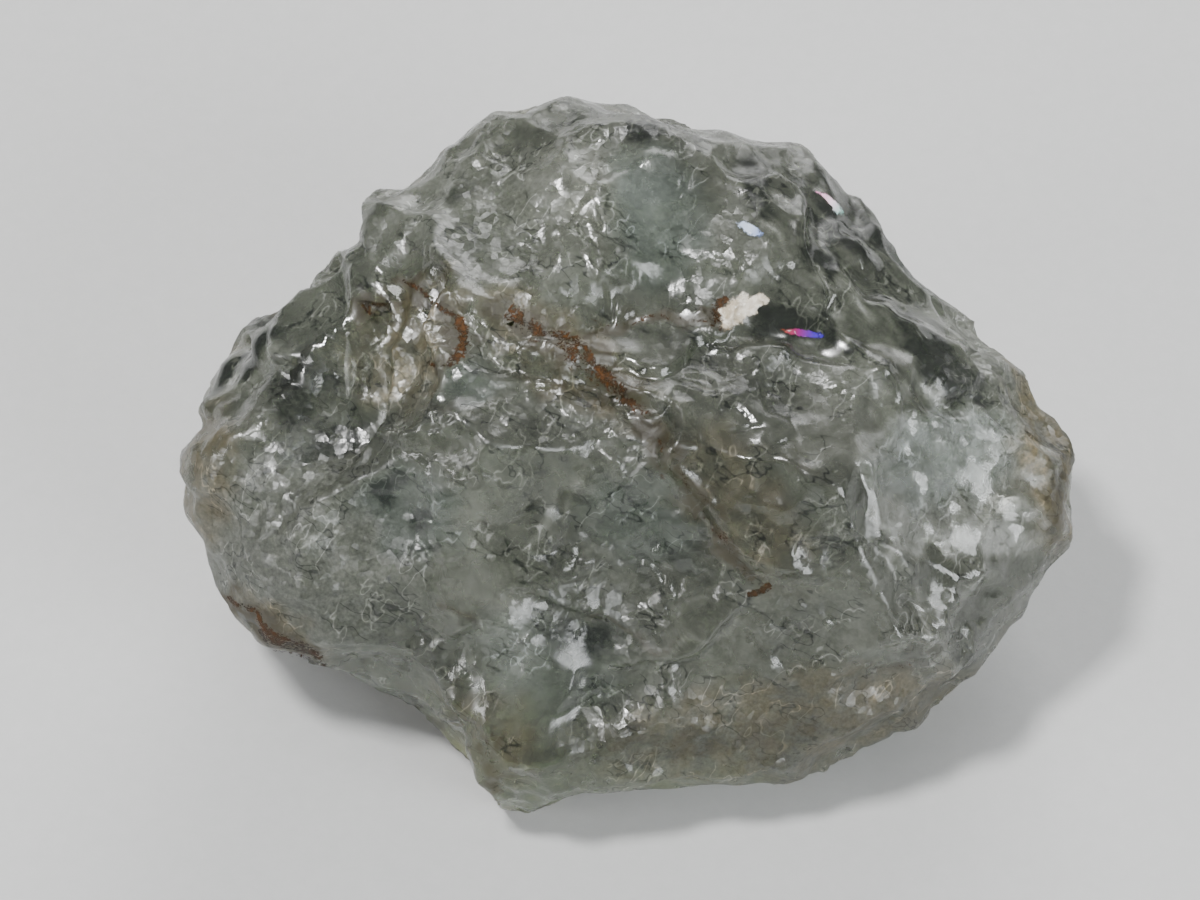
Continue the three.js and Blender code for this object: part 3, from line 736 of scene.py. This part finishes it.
class Nodes:
    """Short calls for a material's node tree."""

    def __init__(self, name):
        self.material = bpy.data.materials.new(name)
        self.material.use_nodes = True
        self.tree = self.material.node_tree
        self.shader = self.tree.nodes["Principled BSDF"]
        self.output = self.tree.nodes["Material Output"]

    def add(self, kind, inputs=(), **settings):
        node = self.tree.nodes.new(kind)
        for key, value in settings.items():
            setattr(node, key, value)
        for key, value in dict(inputs).items():
            self.put(node.inputs[key], value)
        return node

    def put(self, socket, value):
        if isinstance(value, bpy.types.NodeSocket):
            self.tree.links.new(value, socket)
        else:
            socket.default_value = value

    def attribute(self, name):
        return self.add("ShaderNodeAttribute", attribute_name=name).outputs["Fac"]

    def places(self):
        return self.add("ShaderNodeTexCoord").outputs["Object"]

    def noise(self, size, detail=4.0, roughness=0.6, distortion=0.0):
        """Noise whose features are size millimetres across."""
        inputs = {
            "Vector": self.places(), "Scale": 1 / (size * MM), "Detail": detail,
            "Roughness": roughness, "Distortion": distortion,
        }
        return self.add("ShaderNodeTexNoise", inputs).outputs["Fac"]

    def streaks(self, turn, length, width, detail):
        """Noise drawn out along a direction of the broad face, with sizes in millimetres."""
        cosine, sine = math.cos(math.radians(turn)), math.sin(math.radians(turn))
        axes = Matrix((cosine * ACROSS + sine * UP, cosine * UP - sine * ACROSS, OUT))
        mapping = self.add("ShaderNodeMapping", {"Vector": self.places()}, vector_type="TEXTURE")
        mapping.inputs["Rotation"].default_value = axes.transposed().to_euler()
        mapping.inputs["Scale"].default_value = (length * MM, width * MM, width * MM)
        inputs = {"Vector": mapping.outputs["Vector"], "Scale": 1.0, "Detail": detail, "Roughness": 0.6}
        return self.add("ShaderNodeTexNoise", inputs).outputs["Fac"]

    def facets(self, size, slope):
        """Height of flat cells, each tilted its own way: (place - cell's point) . (colour - 1/2)."""
        place = self.places()
        cells = self.add("ShaderNodeTexVoronoi", {"Vector": place, "Scale": 1 / (size * MM)})
        offset = self.add("ShaderNodeVectorMath", operation="SUBTRACT")
        self.put(offset.inputs[0], place)
        self.put(offset.inputs[1], cells.outputs["Position"])
        tilt = self.add("ShaderNodeVectorMath", operation="SUBTRACT")
        self.put(tilt.inputs[0], cells.outputs["Color"])
        tilt.inputs[1].default_value = (0.5, 0.5, 0.5)
        height = self.add("ShaderNodeVectorMath", operation="DOT_PRODUCT")
        self.put(height.inputs[0], offset.outputs[0])
        self.put(height.inputs[1], tilt.outputs[0])
        return self.math("MULTIPLY", height.outputs["Value"], 2 * slope)

    def ramp(self, value, stops):
        """Colours along a value: stops of place and colour."""
        node = self.add("ShaderNodeValToRGB", {"Fac": value})
        for index, (place, colour) in enumerate(stops):
            elements = node.color_ramp.elements
            element = elements[index] if index < 2 else elements.new(place)
            element.position, element.color = place, rgba(colour)
        return node.outputs["Color"]

    def math(self, operation, first, second=0.0, third=0.0):
        node = self.add("ShaderNodeMath", operation=operation)
        for socket, value in zip(node.inputs, (first, second, third)):
            self.put(socket, value)
        return node.outputs[0]

    def remap(self, value, low, high, start=0.0, end=1.0):
        inputs = {"Value": value, "From Min": low, "From Max": high, "To Min": start, "To Max": end}
        return self.add("ShaderNodeMapRange", inputs, interpolation_type="SMOOTHSTEP").outputs["Result"]

    def mix(self, share, first, second):
        node = self.add("ShaderNodeMix", data_type="RGBA")
        self.put(node.inputs["Factor"], share)
        self.put(node.inputs[6], first)
        self.put(node.inputs[7], second)
        return node.outputs[2]

    def tinted(self, colour, tint, share):
        """A colour multiplied by a tint, by a share from 0 to 1."""
        node = self.add("ShaderNodeMix", data_type="RGBA", blend_type="MULTIPLY")
        self.put(node.inputs["Factor"], share)
        self.put(node.inputs[6], colour)
        self.put(node.inputs[7], rgba(tint))
        return node.outputs[2]

    def bump(self, height, distance, strength=1.0):
        """A normal bent by a height, which counts as distance millimetres for each 1 of it."""
        inputs = {"Height": height, "Distance": distance * MM, "Strength": strength}
        return self.add("ShaderNodeBump", inputs).outputs["Normal"]

    def set(self, **values):
        for key, value in values.items():
            self.put(self.shader.inputs[key.replace("_", " ")], value)


def rgba(colour):
    return (*colour, 1.0)


def clear_beryl(settings):
    """Clear greyish beryl: glossy breaks, frosted skin, cloudy grain and rust in the cracks, with painted
    shade in its windows and painted highlights on its ridges.
    """
    nodes = Nodes("clear_beryl")
    frost, clear, stain = nodes.attribute("frost"), nodes.attribute("clear"), nodes.attribute("stain")
    streaked = nodes.attribute("streaked")

    def centred(value, weight):
        return nodes.math("MULTIPLY", nodes.math("SUBTRACT", value, 0.5), weight)

    def filaments(size, width, turn):
        """Thin bright lines where drawn-out noise crosses its middle value, broken up by more noise."""
        line = nodes.math("ABSOLUTE", centred(nodes.streaks(turn, 2.2 * size, size, 2.0), 1.0))
        line = nodes.remap(line, 0.0, width, 1, 0)
        return nodes.math("MULTIPLY", line, nodes.remap(patches, 0.46, 0.56))

    patches = nodes.noise(1.3, 0)
    # tone is milky cloud and grain, with painted shade in the windows and painted highlights on the
    # ridges
    tone = nodes.math("MULTIPLY_ADD", nodes.attribute("tone"), 0.42, 0.38)
    tone = nodes.math("ADD", tone, centred(nodes.noise(3.0, 0), 0.5))
    tone = nodes.math("ADD", tone, centred(nodes.noise(0.9, 3, 0.62, 1.0), 0.6))
    streaks = centred(nodes.streaks(-44, 3.0, 0.35, 3.0), 1.2)
    tone = nodes.math("ADD", tone, nodes.math("MULTIPLY", streaks, streaked))
    tone = nodes.math("MULTIPLY_ADD", filaments(0.9, 0.018, 60), 0.45, tone)
    tone = nodes.math("MULTIPLY_ADD", filaments(0.7, 0.022, -30), -0.4, tone)
    grain_share = nodes.math("MULTIPLY_ADD", frost, 0.8, 0.2)
    tone = nodes.math("MULTIPLY_ADD", centred(nodes.noise(0.13, 2, 0.6), 0.9), grain_share, tone)
    body = nodes.ramp(tone, [
        # the lowest stop is the windows' painted shade
        (0.0, settings.window_painted_shade), (1.0, settings.frost_colour),
        (0.38, settings.body_colour), (0.68, settings.cloud_colour),
    ])
    mottle = nodes.noise(0.9, 2, 0.65)
    warm = nodes.math("MULTIPLY", nodes.attribute("warm"), nodes.remap(mottle, 0.3, 0.62, 0.25, 1))
    body = nodes.tinted(body, settings.warm_tint, warm)
    body = nodes.tinted(body, settings.cool_tint, nodes.attribute("cool"))
    stained = nodes.remap(nodes.math("MULTIPLY", stain, mottle), 0.1, 0.5, 0, 0.9)
    colour = nodes.mix(stained, body, rgba(settings.halo_colour))

    spread = nodes.remap(mottle, 0.38, 0.62, -0.05, 0.1)
    rough = nodes.math("ADD", nodes.math("MULTIPLY_ADD", frost, 0.22, 0.18), spread)
    rough = nodes.math("SUBTRACT", rough, nodes.math("MULTIPLY", clear, 0.1))
    rough = nodes.math("MULTIPLY_ADD", stained, 0.25, rough)
    rough = nodes.math("MINIMUM", nodes.math("MAXIMUM", rough, 0.04), 0.6)

    unclear = nodes.math("SUBTRACT", 1.0, clear)
    busy = nodes.math("MULTIPLY", nodes.math("MULTIPLY_ADD", frost, 0.7, 0.15), unclear)
    fine = nodes.math("MULTIPLY_ADD", nodes.noise(0.35, 2, 0.62), 0.07 * MM, nodes.facets(0.3, 0.35))
    normal = nodes.bump(nodes.math("MULTIPLY", fine, busy), 1 / MM)
    nodes.set(Coat_Weight=0.08, Coat_Roughness=0.1, Coat_IOR=1.6)
    nodes.set(Base_Color=colour, Roughness=rough, IOR=settings.refraction, Normal=normal)
    nodes.set(Transmission_Weight=settings.clearness)
    inputs = {"Color": rgba(settings.depth_colour), "Density": settings.depth_density}
    absorption = nodes.add("ShaderNodeVolumeAbsorption", inputs)
    nodes.tree.links.new(absorption.outputs["Volume"], nodes.output.inputs["Volume"])
    return nodes.material


def veil_material(settings):
    """A healed crack: a feathery white cloud of tiny bubbles, clear between its wisps."""
    nodes = Nodes("feathery_veil")
    wisps = nodes.noise(0.8, 3, 0.7)
    cloud = nodes.math("MULTIPLY", nodes.remap(wisps, 0.44, 0.7, 0, 0.85), nodes.attribute("edge"))
    colour = nodes.mix(wisps, rgba(settings.cloud_colour), rgba(settings.frost_colour))
    nodes.set(Base_Color=colour, Roughness=0.25, Alpha=cloud, IOR=1.4)
    return nodes.material


def crack_material(settings):
    """An open crack: a thin mirror-like film, with rust that crept in from its outer edge."""
    nodes = Nodes("crack_film")
    blotch = nodes.noise(0.6, 2, 0.7)
    depth = nodes.math("MULTIPLY_ADD", blotch, 0.6, nodes.attribute("depth"))
    rust_share = nodes.math("MULTIPLY", nodes.remap(depth, 0.35, 0.75, 1, 0), nodes.attribute("rusty"))
    colour = nodes.mix(rust_share, rgba(settings.frost_colour), rgba(settings.rust_colour))
    film = nodes.remap(blotch, 0.45, 0.66, 0.02, 0.5)
    film = nodes.math("MAXIMUM", film, nodes.math("MULTIPLY", rust_share, 0.8))
    alpha = nodes.math("MULTIPLY", film, nodes.attribute("edge"))
    nodes.set(Base_Color=colour, Roughness=0.12, Alpha=alpha, IOR=1.45)
    return nodes.material


def rainbow_material():
    """A crack as thin as light's wavelength, which colours what it reflects: these rainbow colours are
    painted into its base colour as painted reflection, with white specks of painted sparkle.
    """
    nodes = Nodes("rainbow_film")
    colour = nodes.add("ShaderNodeAttribute", attribute_name="film").outputs["Color"]
    # painted reflection: the film's rainbow colours, flecked with white specks of painted sparkle
    painted_sparkle = nodes.mix(nodes.remap(nodes.noise(0.1, 3), 0.6, 0.75, 0, 0.6), colour, (1, 1, 1, 1))
    alpha = nodes.remap(nodes.math("ADD", nodes.attribute("edge"), nodes.noise(0.12, 3)), 0.62, 0.9)
    nodes.set(Base_Color=painted_sparkle, Roughness=0.2, Alpha=alpha)
    return nodes.material


def rust_material(settings):
    """Rust that crept into the cracks: dark brown crumbs and lines with orange where it is thin."""
    nodes = Nodes("iron_rust")
    crumbs = nodes.noise(0.13, 4, 0.7, 1.0)
    blotches = nodes.noise(0.7, 3, 0.6, 0.6)
    colour = nodes.ramp(nodes.math("MULTIPLY_ADD", blotches, 0.6, nodes.math("MULTIPLY", crumbs, 0.4)), [
        (0.40, settings.umber_colour), (0.70, settings.orange_colour), (0.54, settings.rust_colour),
    ])
    cover = nodes.math("MULTIPLY_ADD", crumbs, 1.5, nodes.math("MULTIPLY", blotches, 0.9))
    cover = nodes.math("ADD", cover, nodes.attribute("cover"))
    alpha = nodes.remap(cover, 1.94, 2.24, 0, 1)
    nodes.set(Base_Color=colour, Roughness=0.6, Alpha=alpha, Normal=nodes.bump(crumbs, 0.04))
    nodes.set(Specular_IOR_Level=0.2)
    return nodes.material


def bruise_material(settings):
    """A bruise: crushed crystal, cream-white and sugary, with rust at one end."""
    nodes = Nodes("crushed_bruise")
    sugar = nodes.noise(0.13, 5, 0.75)
    shade = nodes.remap(nodes.noise(0.4, 4, 0.6, 1.0), 0.35, 0.65)
    colour = nodes.mix(shade, rgba(settings.bruise_shade), rgba(settings.bruise_colour))
    colour = nodes.mix(nodes.remap(sugar, 0.55, 0.7), colour, (1.0, 0.97, 0.91, 1.0))
    rusty = nodes.math("SUBTRACT", nodes.noise(0.25, 4, 0.7), 0.5)
    rusty = nodes.math("ADD", rusty, nodes.attribute("rusty"))
    colour = nodes.mix(nodes.remap(rusty, 0.45, 0.75), colour, rgba(settings.rust_colour))
    ragged = nodes.math("MULTIPLY_ADD", nodes.noise(0.22, 5, 0.7), 0.9, nodes.attribute("edge"))
    nodes.set(Base_Color=colour, Roughness=0.4, Alpha=nodes.remap(ragged, 0.62, 0.82))
    nodes.set(Normal=nodes.bump(sugar, 0.09))
    return nodes.material


def colour_property(name, description, default):
    return bpy.props.FloatVectorProperty(
        name=name, description=description, default=default, size=3, min=0, max=1, subtype="COLOR")


class GosheniteSettings(bpy.types.PropertyGroup):
    """Sizes and colours that a user would change."""

    # the windows' colour is painted shade: clear places painted dark, as if seen through to shade
    window_painted_shade: colour_property("Windows", "The clearest places", (0.045, 0.05, 0.042))
    body_colour: colour_property("Body", "The crystal where it is clean", (0.195, 0.205, 0.165))
    cloud_colour: colour_property("Clouds", "Milky places in the crystal", (0.37, 0.38, 0.325))
    frost_colour: colour_property("Frost", "The whitest grains and flaws", (0.85, 0.86, 0.81))
    warm_tint: colour_property("Warm tint", "Tan places", (1.0, 0.76, 0.44))
    halo_colour: colour_property("Halo", "Olive brown round the rust", (0.088, 0.068, 0.030))
    cool_tint: colour_property("Cool tint", "Bluish places", (0.86, 0.95, 1.0))
    orange_colour: colour_property("Orange rust", "Thin, bright rust", (0.085, 0.031, 0.006))
    rust_colour: colour_property("Rust", "Brown rust in the cracks", (0.036, 0.019, 0.007))
    umber_colour: colour_property("Umber", "Darkest rust in the cracks", (0.012, 0.008, 0.004))
    bruise_colour: colour_property("Bruise", "The crushed white spot", (0.86, 0.80, 0.68))
    bruise_shade: colour_property("Bruise shade", "Its hollows", (0.50, 0.42, 0.30))
    depth_colour: colour_property("Depth", "What light turns to deep inside", (0.62, 0.68, 0.58))
    depth_density: bpy.props.FloatProperty(
        name="Depth density", description="How fast light fades inside, per metre", default=220.0, min=0)
    refraction: bpy.props.FloatProperty(
        name="Refraction", description="Index of refraction of beryl", default=1.58, min=1, max=3)
    clearness: bpy.props.FloatProperty(
        name="Clearness", description="Share of the light that goes through the skin", default=0.78,
        min=0, max=1, subtype="FACTOR")
    bruise_thickness: bpy.props.FloatProperty(
        name="Bruise thickness", description="How far the crushed spot stands off the skin",
        default=0.09 * MM, min=0, precision=5, unit="LENGTH")
    rust_spread: bpy.props.FloatProperty(
        name="Rust spread", description="Width of the rust against the cracks' own", default=1.6, min=0.1)
    skin_steps: bpy.props.IntProperty(
        name="Skin steps", description="Fineness of the skin: steps along each edge of its cube",
        default=128, min=8, max=140)


def settings_now():
    return bpy.context.scene.goshenite


class GOSHENITE_OT_body(bpy.types.Operator):
    """Build the crystal's skin with its breaks, chips, ledges and ridges"""

    bl_idname = "goshenite.body"
    bl_label = "Crystal Body"

    def execute(self, context):
        skin = crystal_skin()
        places = skin.places
        obj = new_mesh("crystal_body", to_frame(places), skin.faces)
        broad = ease(places[:, 2], *SIDE_EASE)
        drawn = wobbled(places)

        def paint(name, front, behind):
            """Store one value over the broad face's side, and another behind."""
            add_attribute(obj, name, np.clip(blend(behind, front, broad), -1, 1.3))

        def patchy(wavelength, kind, low, high):
            """Patches behind, where slow waves rise from low to high."""
            return ease(waves(places, wavelength, kind), low, high)

        frost = np.clip(0.2 + 0.25 * waves(places, 5.0, 6), 0, 0.5)
        frost = np.maximum(frost, patch_strength(drawn, FROST_PATCHES))
        near_rust = np.maximum(line_strength(drawn, WIDE_STAINS), patch_strength(drawn, STAIN_PATCHES))
        paint("frost", frost, 0.2 + 0.35 * waves(places, 6.0, 5))
        paint("stain", near_rust, 0.8 * patchy(5.0, 12, 1.2, 2.2))
        # on the broad face, tone holds painted shade in the windows and gaps and painted highlights on
        # the ridges; behind, it varies at random
        paint("tone", cloud_and_painted_light(drawn), 0.15 + 0.35 * waves(places, 4.0, 13))
        paint("clear", patch_strength(drawn, CLEAR_PATCHES), patchy(5.0, 14, 0.1, 1.2))
        paint("warm", patch_strength(drawn, WARM_PATCHES), patchy(7.0, 15, -0.2, 1.5))
        paint("cool", patch_strength(drawn, COOL_PATCHES), patchy(7.0, 16, 0.2, 1.5))
        paint("streaked", patch_strength(drawn, STREAK_PATCHES), patchy(7.0, 17, 0.0, 1.2))
        finish_piece(obj, clear_beryl(settings_now()))
        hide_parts("goshenite_crystal")
        return {"FINISHED"}


class GOSHENITE_OT_veils(bpy.types.Operator):
    """Build the feathery veils that lie under the skin

    Each is an ellipse of places at middle - depth + slope of its tilts + ripple, under the skin.
    """

    bl_idname = "goshenite.veils"
    bl_label = "Inner Veils"

    def execute(self, context):
        line = np.linspace(-1, 1, VEIL_STEPS)
        rows, columns = (axis.ravel() for axis in np.meshgrid(line, line, indexing="ij"))
        places, faces, edges = [], [], []
        for index, (at, size, turn, depth, tilts, cloudiness) in enumerate(VEILS):
            cosine, sine = math.cos(math.radians(turn)), math.sin(math.radians(turn))
            along, aside = rows * size[0], columns * size[1]
            across = at[0] + along * cosine - aside * sine
            up = at[1] + along * sine + aside * cosine
            skin = crystal_skin().over(across, up)
            middle = skin[len(skin) // 2] - depth
            slope = math.tan(math.radians(tilts[0])) * (across - at[0])
            slope = slope + math.tan(math.radians(tilts[1])) * (up - at[1])
            ripple = 0.18 * waves(np.stack([across, up, 0 * across], -1), 3.0, index)
            out = np.minimum(middle + slope + ripple, skin - VEIL_COVER)
            reach = 1 - np.hypot(rows, columns)
            reach = reach + 0.12 * waves(np.stack([along, aside, 0 * along], -1), 2.2, index)
            places.append(np.stack([across, up, out], -1))
            faces.append(grid_faces(VEIL_STEPS, VEIL_STEPS, index * len(rows)))
            edges.append(ease(reach, 0.0, 0.45) * cloudiness)
        obj = new_mesh("inner_veils", to_frame(np.concatenate(places)), np.concatenate(faces))
        add_attribute(obj, "edge", np.concatenate(edges))
        finish_piece(obj, veil_material(settings_now()))
        return {"FINISHED"}


class GOSHENITE_OT_cracks(bpy.types.Operator):
    """Build the cracks that run in from the skin

    Each is a line on the skin carried down: depth x swell x share down, and aside by the tangent of
    its lean.
    """

    bl_idname = "goshenite.cracks"
    bl_label = "Inner Cracks"

    def execute(self, context):
        rows, columns = CRACK_STEPS
        along, down = (axis.ravel() for axis in np.meshgrid(
            np.linspace(0, 1, rows), np.linspace(0, 1, columns), indexing="ij"))
        places, faces, edges, rusty = [], [], [], []
        for index, (line, depth, lean, rust) in enumerate(CRACK_SHEETS):
            line = np.array(line)
            lengths = np.hypot(*np.diff(line, axis=0).T)
            stops = np.concatenate([[0], np.cumsum(lengths)]) / lengths.sum()
            across, up = (np.interp(along, stops, line[:, axis]) for axis in (0, 1))
            heading = line[-1] - line[0]
            aside = np.array([-heading[1], heading[0]]) / np.hypot(*heading)
            flat = np.stack([across, up, 0 * across], -1)
            swell = 0.55 + 0.45 * np.sin(np.pi * along) + 0.12 * waves(flat, 2.4, index + 3)
            fall = depth * swell * down
            slide = math.tan(math.radians(lean)) * fall + 0.16 * waves(flat, 1.8, index)
            across, up = across + aside[0] * slide, up + aside[1] * slide
            out = crystal_skin().over(across, up) - 0.03 - fall
            places.append(np.stack([across, up, out], -1))
            faces.append(grid_faces(rows, columns, index * len(along)))
            ends = ease(np.minimum(along, 1 - along), 0.0, 0.12)
            edges.append(ends * (1 - ease(down, 0.6, 1.0)))
            rusty.append(np.full(len(along), rust))
        obj = new_mesh("inner_cracks", to_frame(np.concatenate(places)), np.concatenate(faces))
        add_attribute(obj, "edge", np.concatenate(edges))
        add_attribute(obj, "depth", np.tile(down, len(CRACK_SHEETS)))
        add_attribute(obj, "rusty", np.concatenate(rusty))
        finish_piece(obj, crack_material(settings_now()))
        return {"FINISHED"}


def skin_patch(name, at, size, turn, rings, spokes, lift, ragged=()):
    """A patch that follows the skin: an ellipse whose edge swells by a sum of sine waves round it.

    A place stands at share x radius(round) from the middle, lifted off the skin by lift(share).
    """
    share, around = (axis.ravel() for axis in np.meshgrid(
        np.linspace(0, 1, rings), np.linspace(0, 2 * np.pi, spokes, endpoint=False), indexing="ij"))
    swell = 1 + sum(height * np.sin(count * around + start) for count, height, start in ragged)
    along, aside = share * swell * np.cos(around), share * swell * np.sin(around)
    cosine, sine = math.cos(math.radians(turn)), math.sin(math.radians(turn))
    across = at[0] + along * size[0] * cosine - aside * size[1] * sine
    up = at[1] + along * size[0] * sine + aside * size[1] * cosine
    places = np.stack([across, up, crystal_skin().over(across, up)], -1)
    places[:, 2] += lift(share, places)
    corners = np.arange(rings * spokes).reshape(rings, spokes)
    onward = np.roll(corners, -1, 1)
    faces = np.stack([corners[:-1], corners[1:], onward[1:], onward[:-1]], -1)[1:].reshape(-1, 4).tolist()
    faces += [[0, int(corners[1, i]), int(onward[1, i])] for i in range(spokes)]
    obj = new_mesh(name, to_frame(places), faces)
    add_attribute(obj, "edge", 1 - share)
    return obj, along


def skin_ribbon(line, half_width, steps, columns):
    """A band that follows the skin along a line: point + side x half width x share across.

    Returns its places, its faces and its share of the half width, from 0 in the middle to 1.
    """
    line = np.array(line)
    lengths = np.hypot(*np.diff(line, axis=0).T)
    stops = np.concatenate([[0], np.cumsum(lengths)])
    along = np.linspace(0, stops[-1], steps)
    centre = np.stack([np.interp(along, stops, line[:, 0]), np.interp(along, stops, line[:, 1])], -1)
    centre = wobbled(np.column_stack([centre, 6 + 0 * along]), 0.1)[:, :2]
    heading = unit(np.gradient(centre, axis=0))
    aside = np.stack([-heading[:, 1], heading[:, 0]], -1)
    share = np.linspace(-1, 1, columns)
    taper = half_width * (0.35 + 0.65 * np.sqrt(np.sin(np.pi * np.linspace(0.02, 0.98, steps))))
    flat = centre[:, None] + share[:, None] * (taper[:, None] * aside)[:, None]
    across, up = flat.reshape(-1, 2).T
    places = np.stack([across, up, crystal_skin().over(across, up) + RUST_LIFT], -1)
    return places, grid_faces(steps, columns), np.abs(np.tile(share, steps))


class GOSHENITE_OT_rust(bpy.types.Operator):
    """Build the rust that lies in the cracks"""

    bl_idname = "goshenite.rust"
    bl_label = "Rust"

    def execute(self, context):
        spread = settings_now().rust_spread
        ribbons = []
        for line, width, strength in STAIN_LINES:
            length = sum(math.dist(a, b) for a, b in zip(line, line[1:]))
            ribbons.append((line, spread * width, max(int(length / RUST_STEP), 6), 9, strength, 0.15))
        for at, size, turn, strength in STAIN_PATCHES:
            reach = size[0] * np.array([math.cos(math.radians(turn)), math.sin(math.radians(turn))])
            steps = max(int(2 * size[0] / RUST_STEP), 8)
            ribbons.append(([at - reach, at + reach], size[1], steps, 17, strength, 0.0))
        places, faces, cover, count = [], [], [], 0
        for line, half_width, steps, columns, strength, bare in ribbons:
            band, quads, share = skin_ribbon(line, half_width, steps, columns)
            places.append(band)
            faces.append(quads + count)
            cover.append(strength * (1 - share ** 2) * 1.1 - bare)
            count += len(band)
        obj = new_mesh("rust_stains", to_frame(np.concatenate(places)), np.concatenate(faces))
        add_attribute(obj, "cover", np.concatenate(cover))
        finish_piece(obj, rust_material(settings_now()))
        return {"FINISHED"}


class GOSHENITE_OT_bruise(bpy.types.Operator):
    """Build the crushed white bruise"""

    bl_idname = "goshenite.bruise"
    bl_label = "White Bruise"

    def execute(self, context):
        at, size, turn = BRUISE
        thickness = settings_now().bruise_thickness / MM

        def lift(share, places):
            lumps = 1 + 0.35 * waves(places, 0.5, 2) + 0.2 * waves(places, 0.23, 4)
            return thickness * (1 - share ** 2) * lumps - 0.02

        obj, along = skin_patch("white_bruise", at, size, turn, 30, 96, lift, BRUISE_RAGGED)
        add_attribute(obj, "rusty", ease(-along, 0.2, 1.0))
        finish_piece(obj, bruise_material(settings_now()))
        return {"FINISHED"}


class GOSHENITE_OT_rainbows(bpy.types.Operator):
    """Build the cracks that shine in rainbow colours"""

    bl_idname = "goshenite.rainbows"
    bl_label = "Rainbow Cracks"

    def execute(self, context):
        material = rainbow_material()
        for index, (at, size, turn, colours) in enumerate(RAINBOW_CRACKS):
            obj, along = skin_patch(
                f"rainbow_crack_{index + 1}", at, size, turn, 12, 48, lambda share, places: RAINBOW_LIFT)
            stops = np.linspace(-1, 1, len(colours))
            film = np.stack([np.interp(along, stops, channel) for channel in zip(*colours)], -1)
            attribute = obj.data.attributes.new("film", "FLOAT_COLOR", "POINT")
            attribute.data.foreach_set("color", np.column_stack([film, np.ones(len(film))]).ravel())
            finish_piece(obj, material)
        return {"FINISHED"}


def look_from(obj, place, target):
    turn = Vector(target - place).to_track_quat("-Z", "Y").to_matrix().to_4x4()
    obj.matrix_world = Matrix.Translation(place) @ turn


def area_light(name, place, diameter, power, colour):
    light = bpy.data.lights.new(name, "AREA")
    light.shape, light.size = "DISK", diameter * MM
    light.energy, light.color = power, colour
    obj = bpy.data.objects.new(name, light)
    bpy.context.scene.collection.objects.link(obj)
    look_from(obj, (MIDDLE + place) * MM, MIDDLE * MM)
    return obj


class GOSHENITE_OT_stage(bpy.types.Operator):
    """Set the plain pale floor, the soft lights and the camera"""

    bl_idname = "goshenite.stage"
    bl_label = "Stage"

    def execute(self, context):
        scene = context.scene
        corners = np.array([(-1, -1, 0), (1, -1, 0), (1, 1, 0), (-1, 1, 0)]) * FLOOR_SIZE / 2
        floor = new_mesh("floor", corners - [0, 0, FLOOR_DROP], np.array([[0, 1, 2, 3]]), False)
        paper = Nodes("pale_paper")
        fibres = paper.noise(0.6, 6, 0.7)
        tone = paper.mix(fibres, *(rgba(colour) for colour in PAPER_COLOURS))
        paper.set(Base_Color=tone, Roughness=0.85, Normal=paper.bump(fibres, 0.03, 0.4))
        floor.data.materials.append(paper.material)

        world = bpy.data.worlds.new("soft_room")
        scene.world = world
        world.use_nodes = True
        backdrop = world.node_tree.nodes["Background"]
        backdrop.inputs["Color"].default_value = rgba(ROOM_COLOUR)
        backdrop.inputs["Strength"].default_value = ROOM_STRENGTH

        lights = {name: area_light(name, *light) for name, light in LIGHTS.items()}
        lights["back"].visible_glossy = False  # it lights the crystal through, and leaves no glare on it

        data = bpy.data.cameras.new("camera")
        data.sensor_width = SENSOR_WIDTH
        data.lens = SENSOR_WIDTH * VIEW_DISTANCE / VIEW_WIDTH
        data.clip_start, data.clip_end = 0.005, 20.0
        camera = bpy.data.objects.new("camera", data)
        scene.collection.objects.link(camera)
        aim = MIDDLE + AIM_OFFSET[0] * ACROSS + AIM_OFFSET[1] * UP
        look_from(camera, (aim + VIEW_DISTANCE * OUT) * MM, aim * MM)
        scene.camera = camera

        # light passes in and out of the crystal a few times, and then too little is left to see
        scene.cycles.max_bounces = 5
        scene.cycles.transmission_bounces = 5
        scene.cycles.glossy_bounces = 3
        scene.cycles.diffuse_bounces = 3
        scene.cycles.adaptive_threshold = 0.2
        return {"FINISHED"}


OPERATORS = (
    GOSHENITE_OT_body, GOSHENITE_OT_veils, GOSHENITE_OT_cracks, GOSHENITE_OT_rust, GOSHENITE_OT_bruise,
    GOSHENITE_OT_rainbows, GOSHENITE_OT_stage,
)


class GOSHENITE_PT_panel(bpy.types.Panel):
    bl_label = "Goshenite Crystal"
    bl_idname = "GOSHENITE_PT_panel"
    bl_space_type = "VIEW_3D"
    bl_region_type = "UI"
    bl_category = "Goshenite"

    def draw(self, context):
        for name in GosheniteSettings.__annotations__:
            self.layout.prop(context.scene.goshenite, name)
        for operator in OPERATORS:
            self.layout.operator(operator.bl_idname)


CLASSES = (GosheniteSettings, *OPERATORS, GOSHENITE_PT_panel)


def register():
    for cls in CLASSES:
        bpy.utils.register_class(cls)
    bpy.types.Scene.goshenite = bpy.props.PointerProperty(type=GosheniteSettings)


def unregister():
    del bpy.types.Scene.goshenite
    for cls in reversed(CLASSES):
        bpy.utils.unregister_class(cls)


def main():
    register()
    bpy.ops.goshenite.body()
    bpy.ops.goshenite.veils()
    bpy.ops.goshenite.cracks()
    bpy.ops.goshenite.rust()
    bpy.ops.goshenite.bruise()
    bpy.ops.goshenite.rainbows()
    bpy.ops.goshenite.stage()


if __name__ == "__main__":
    main()
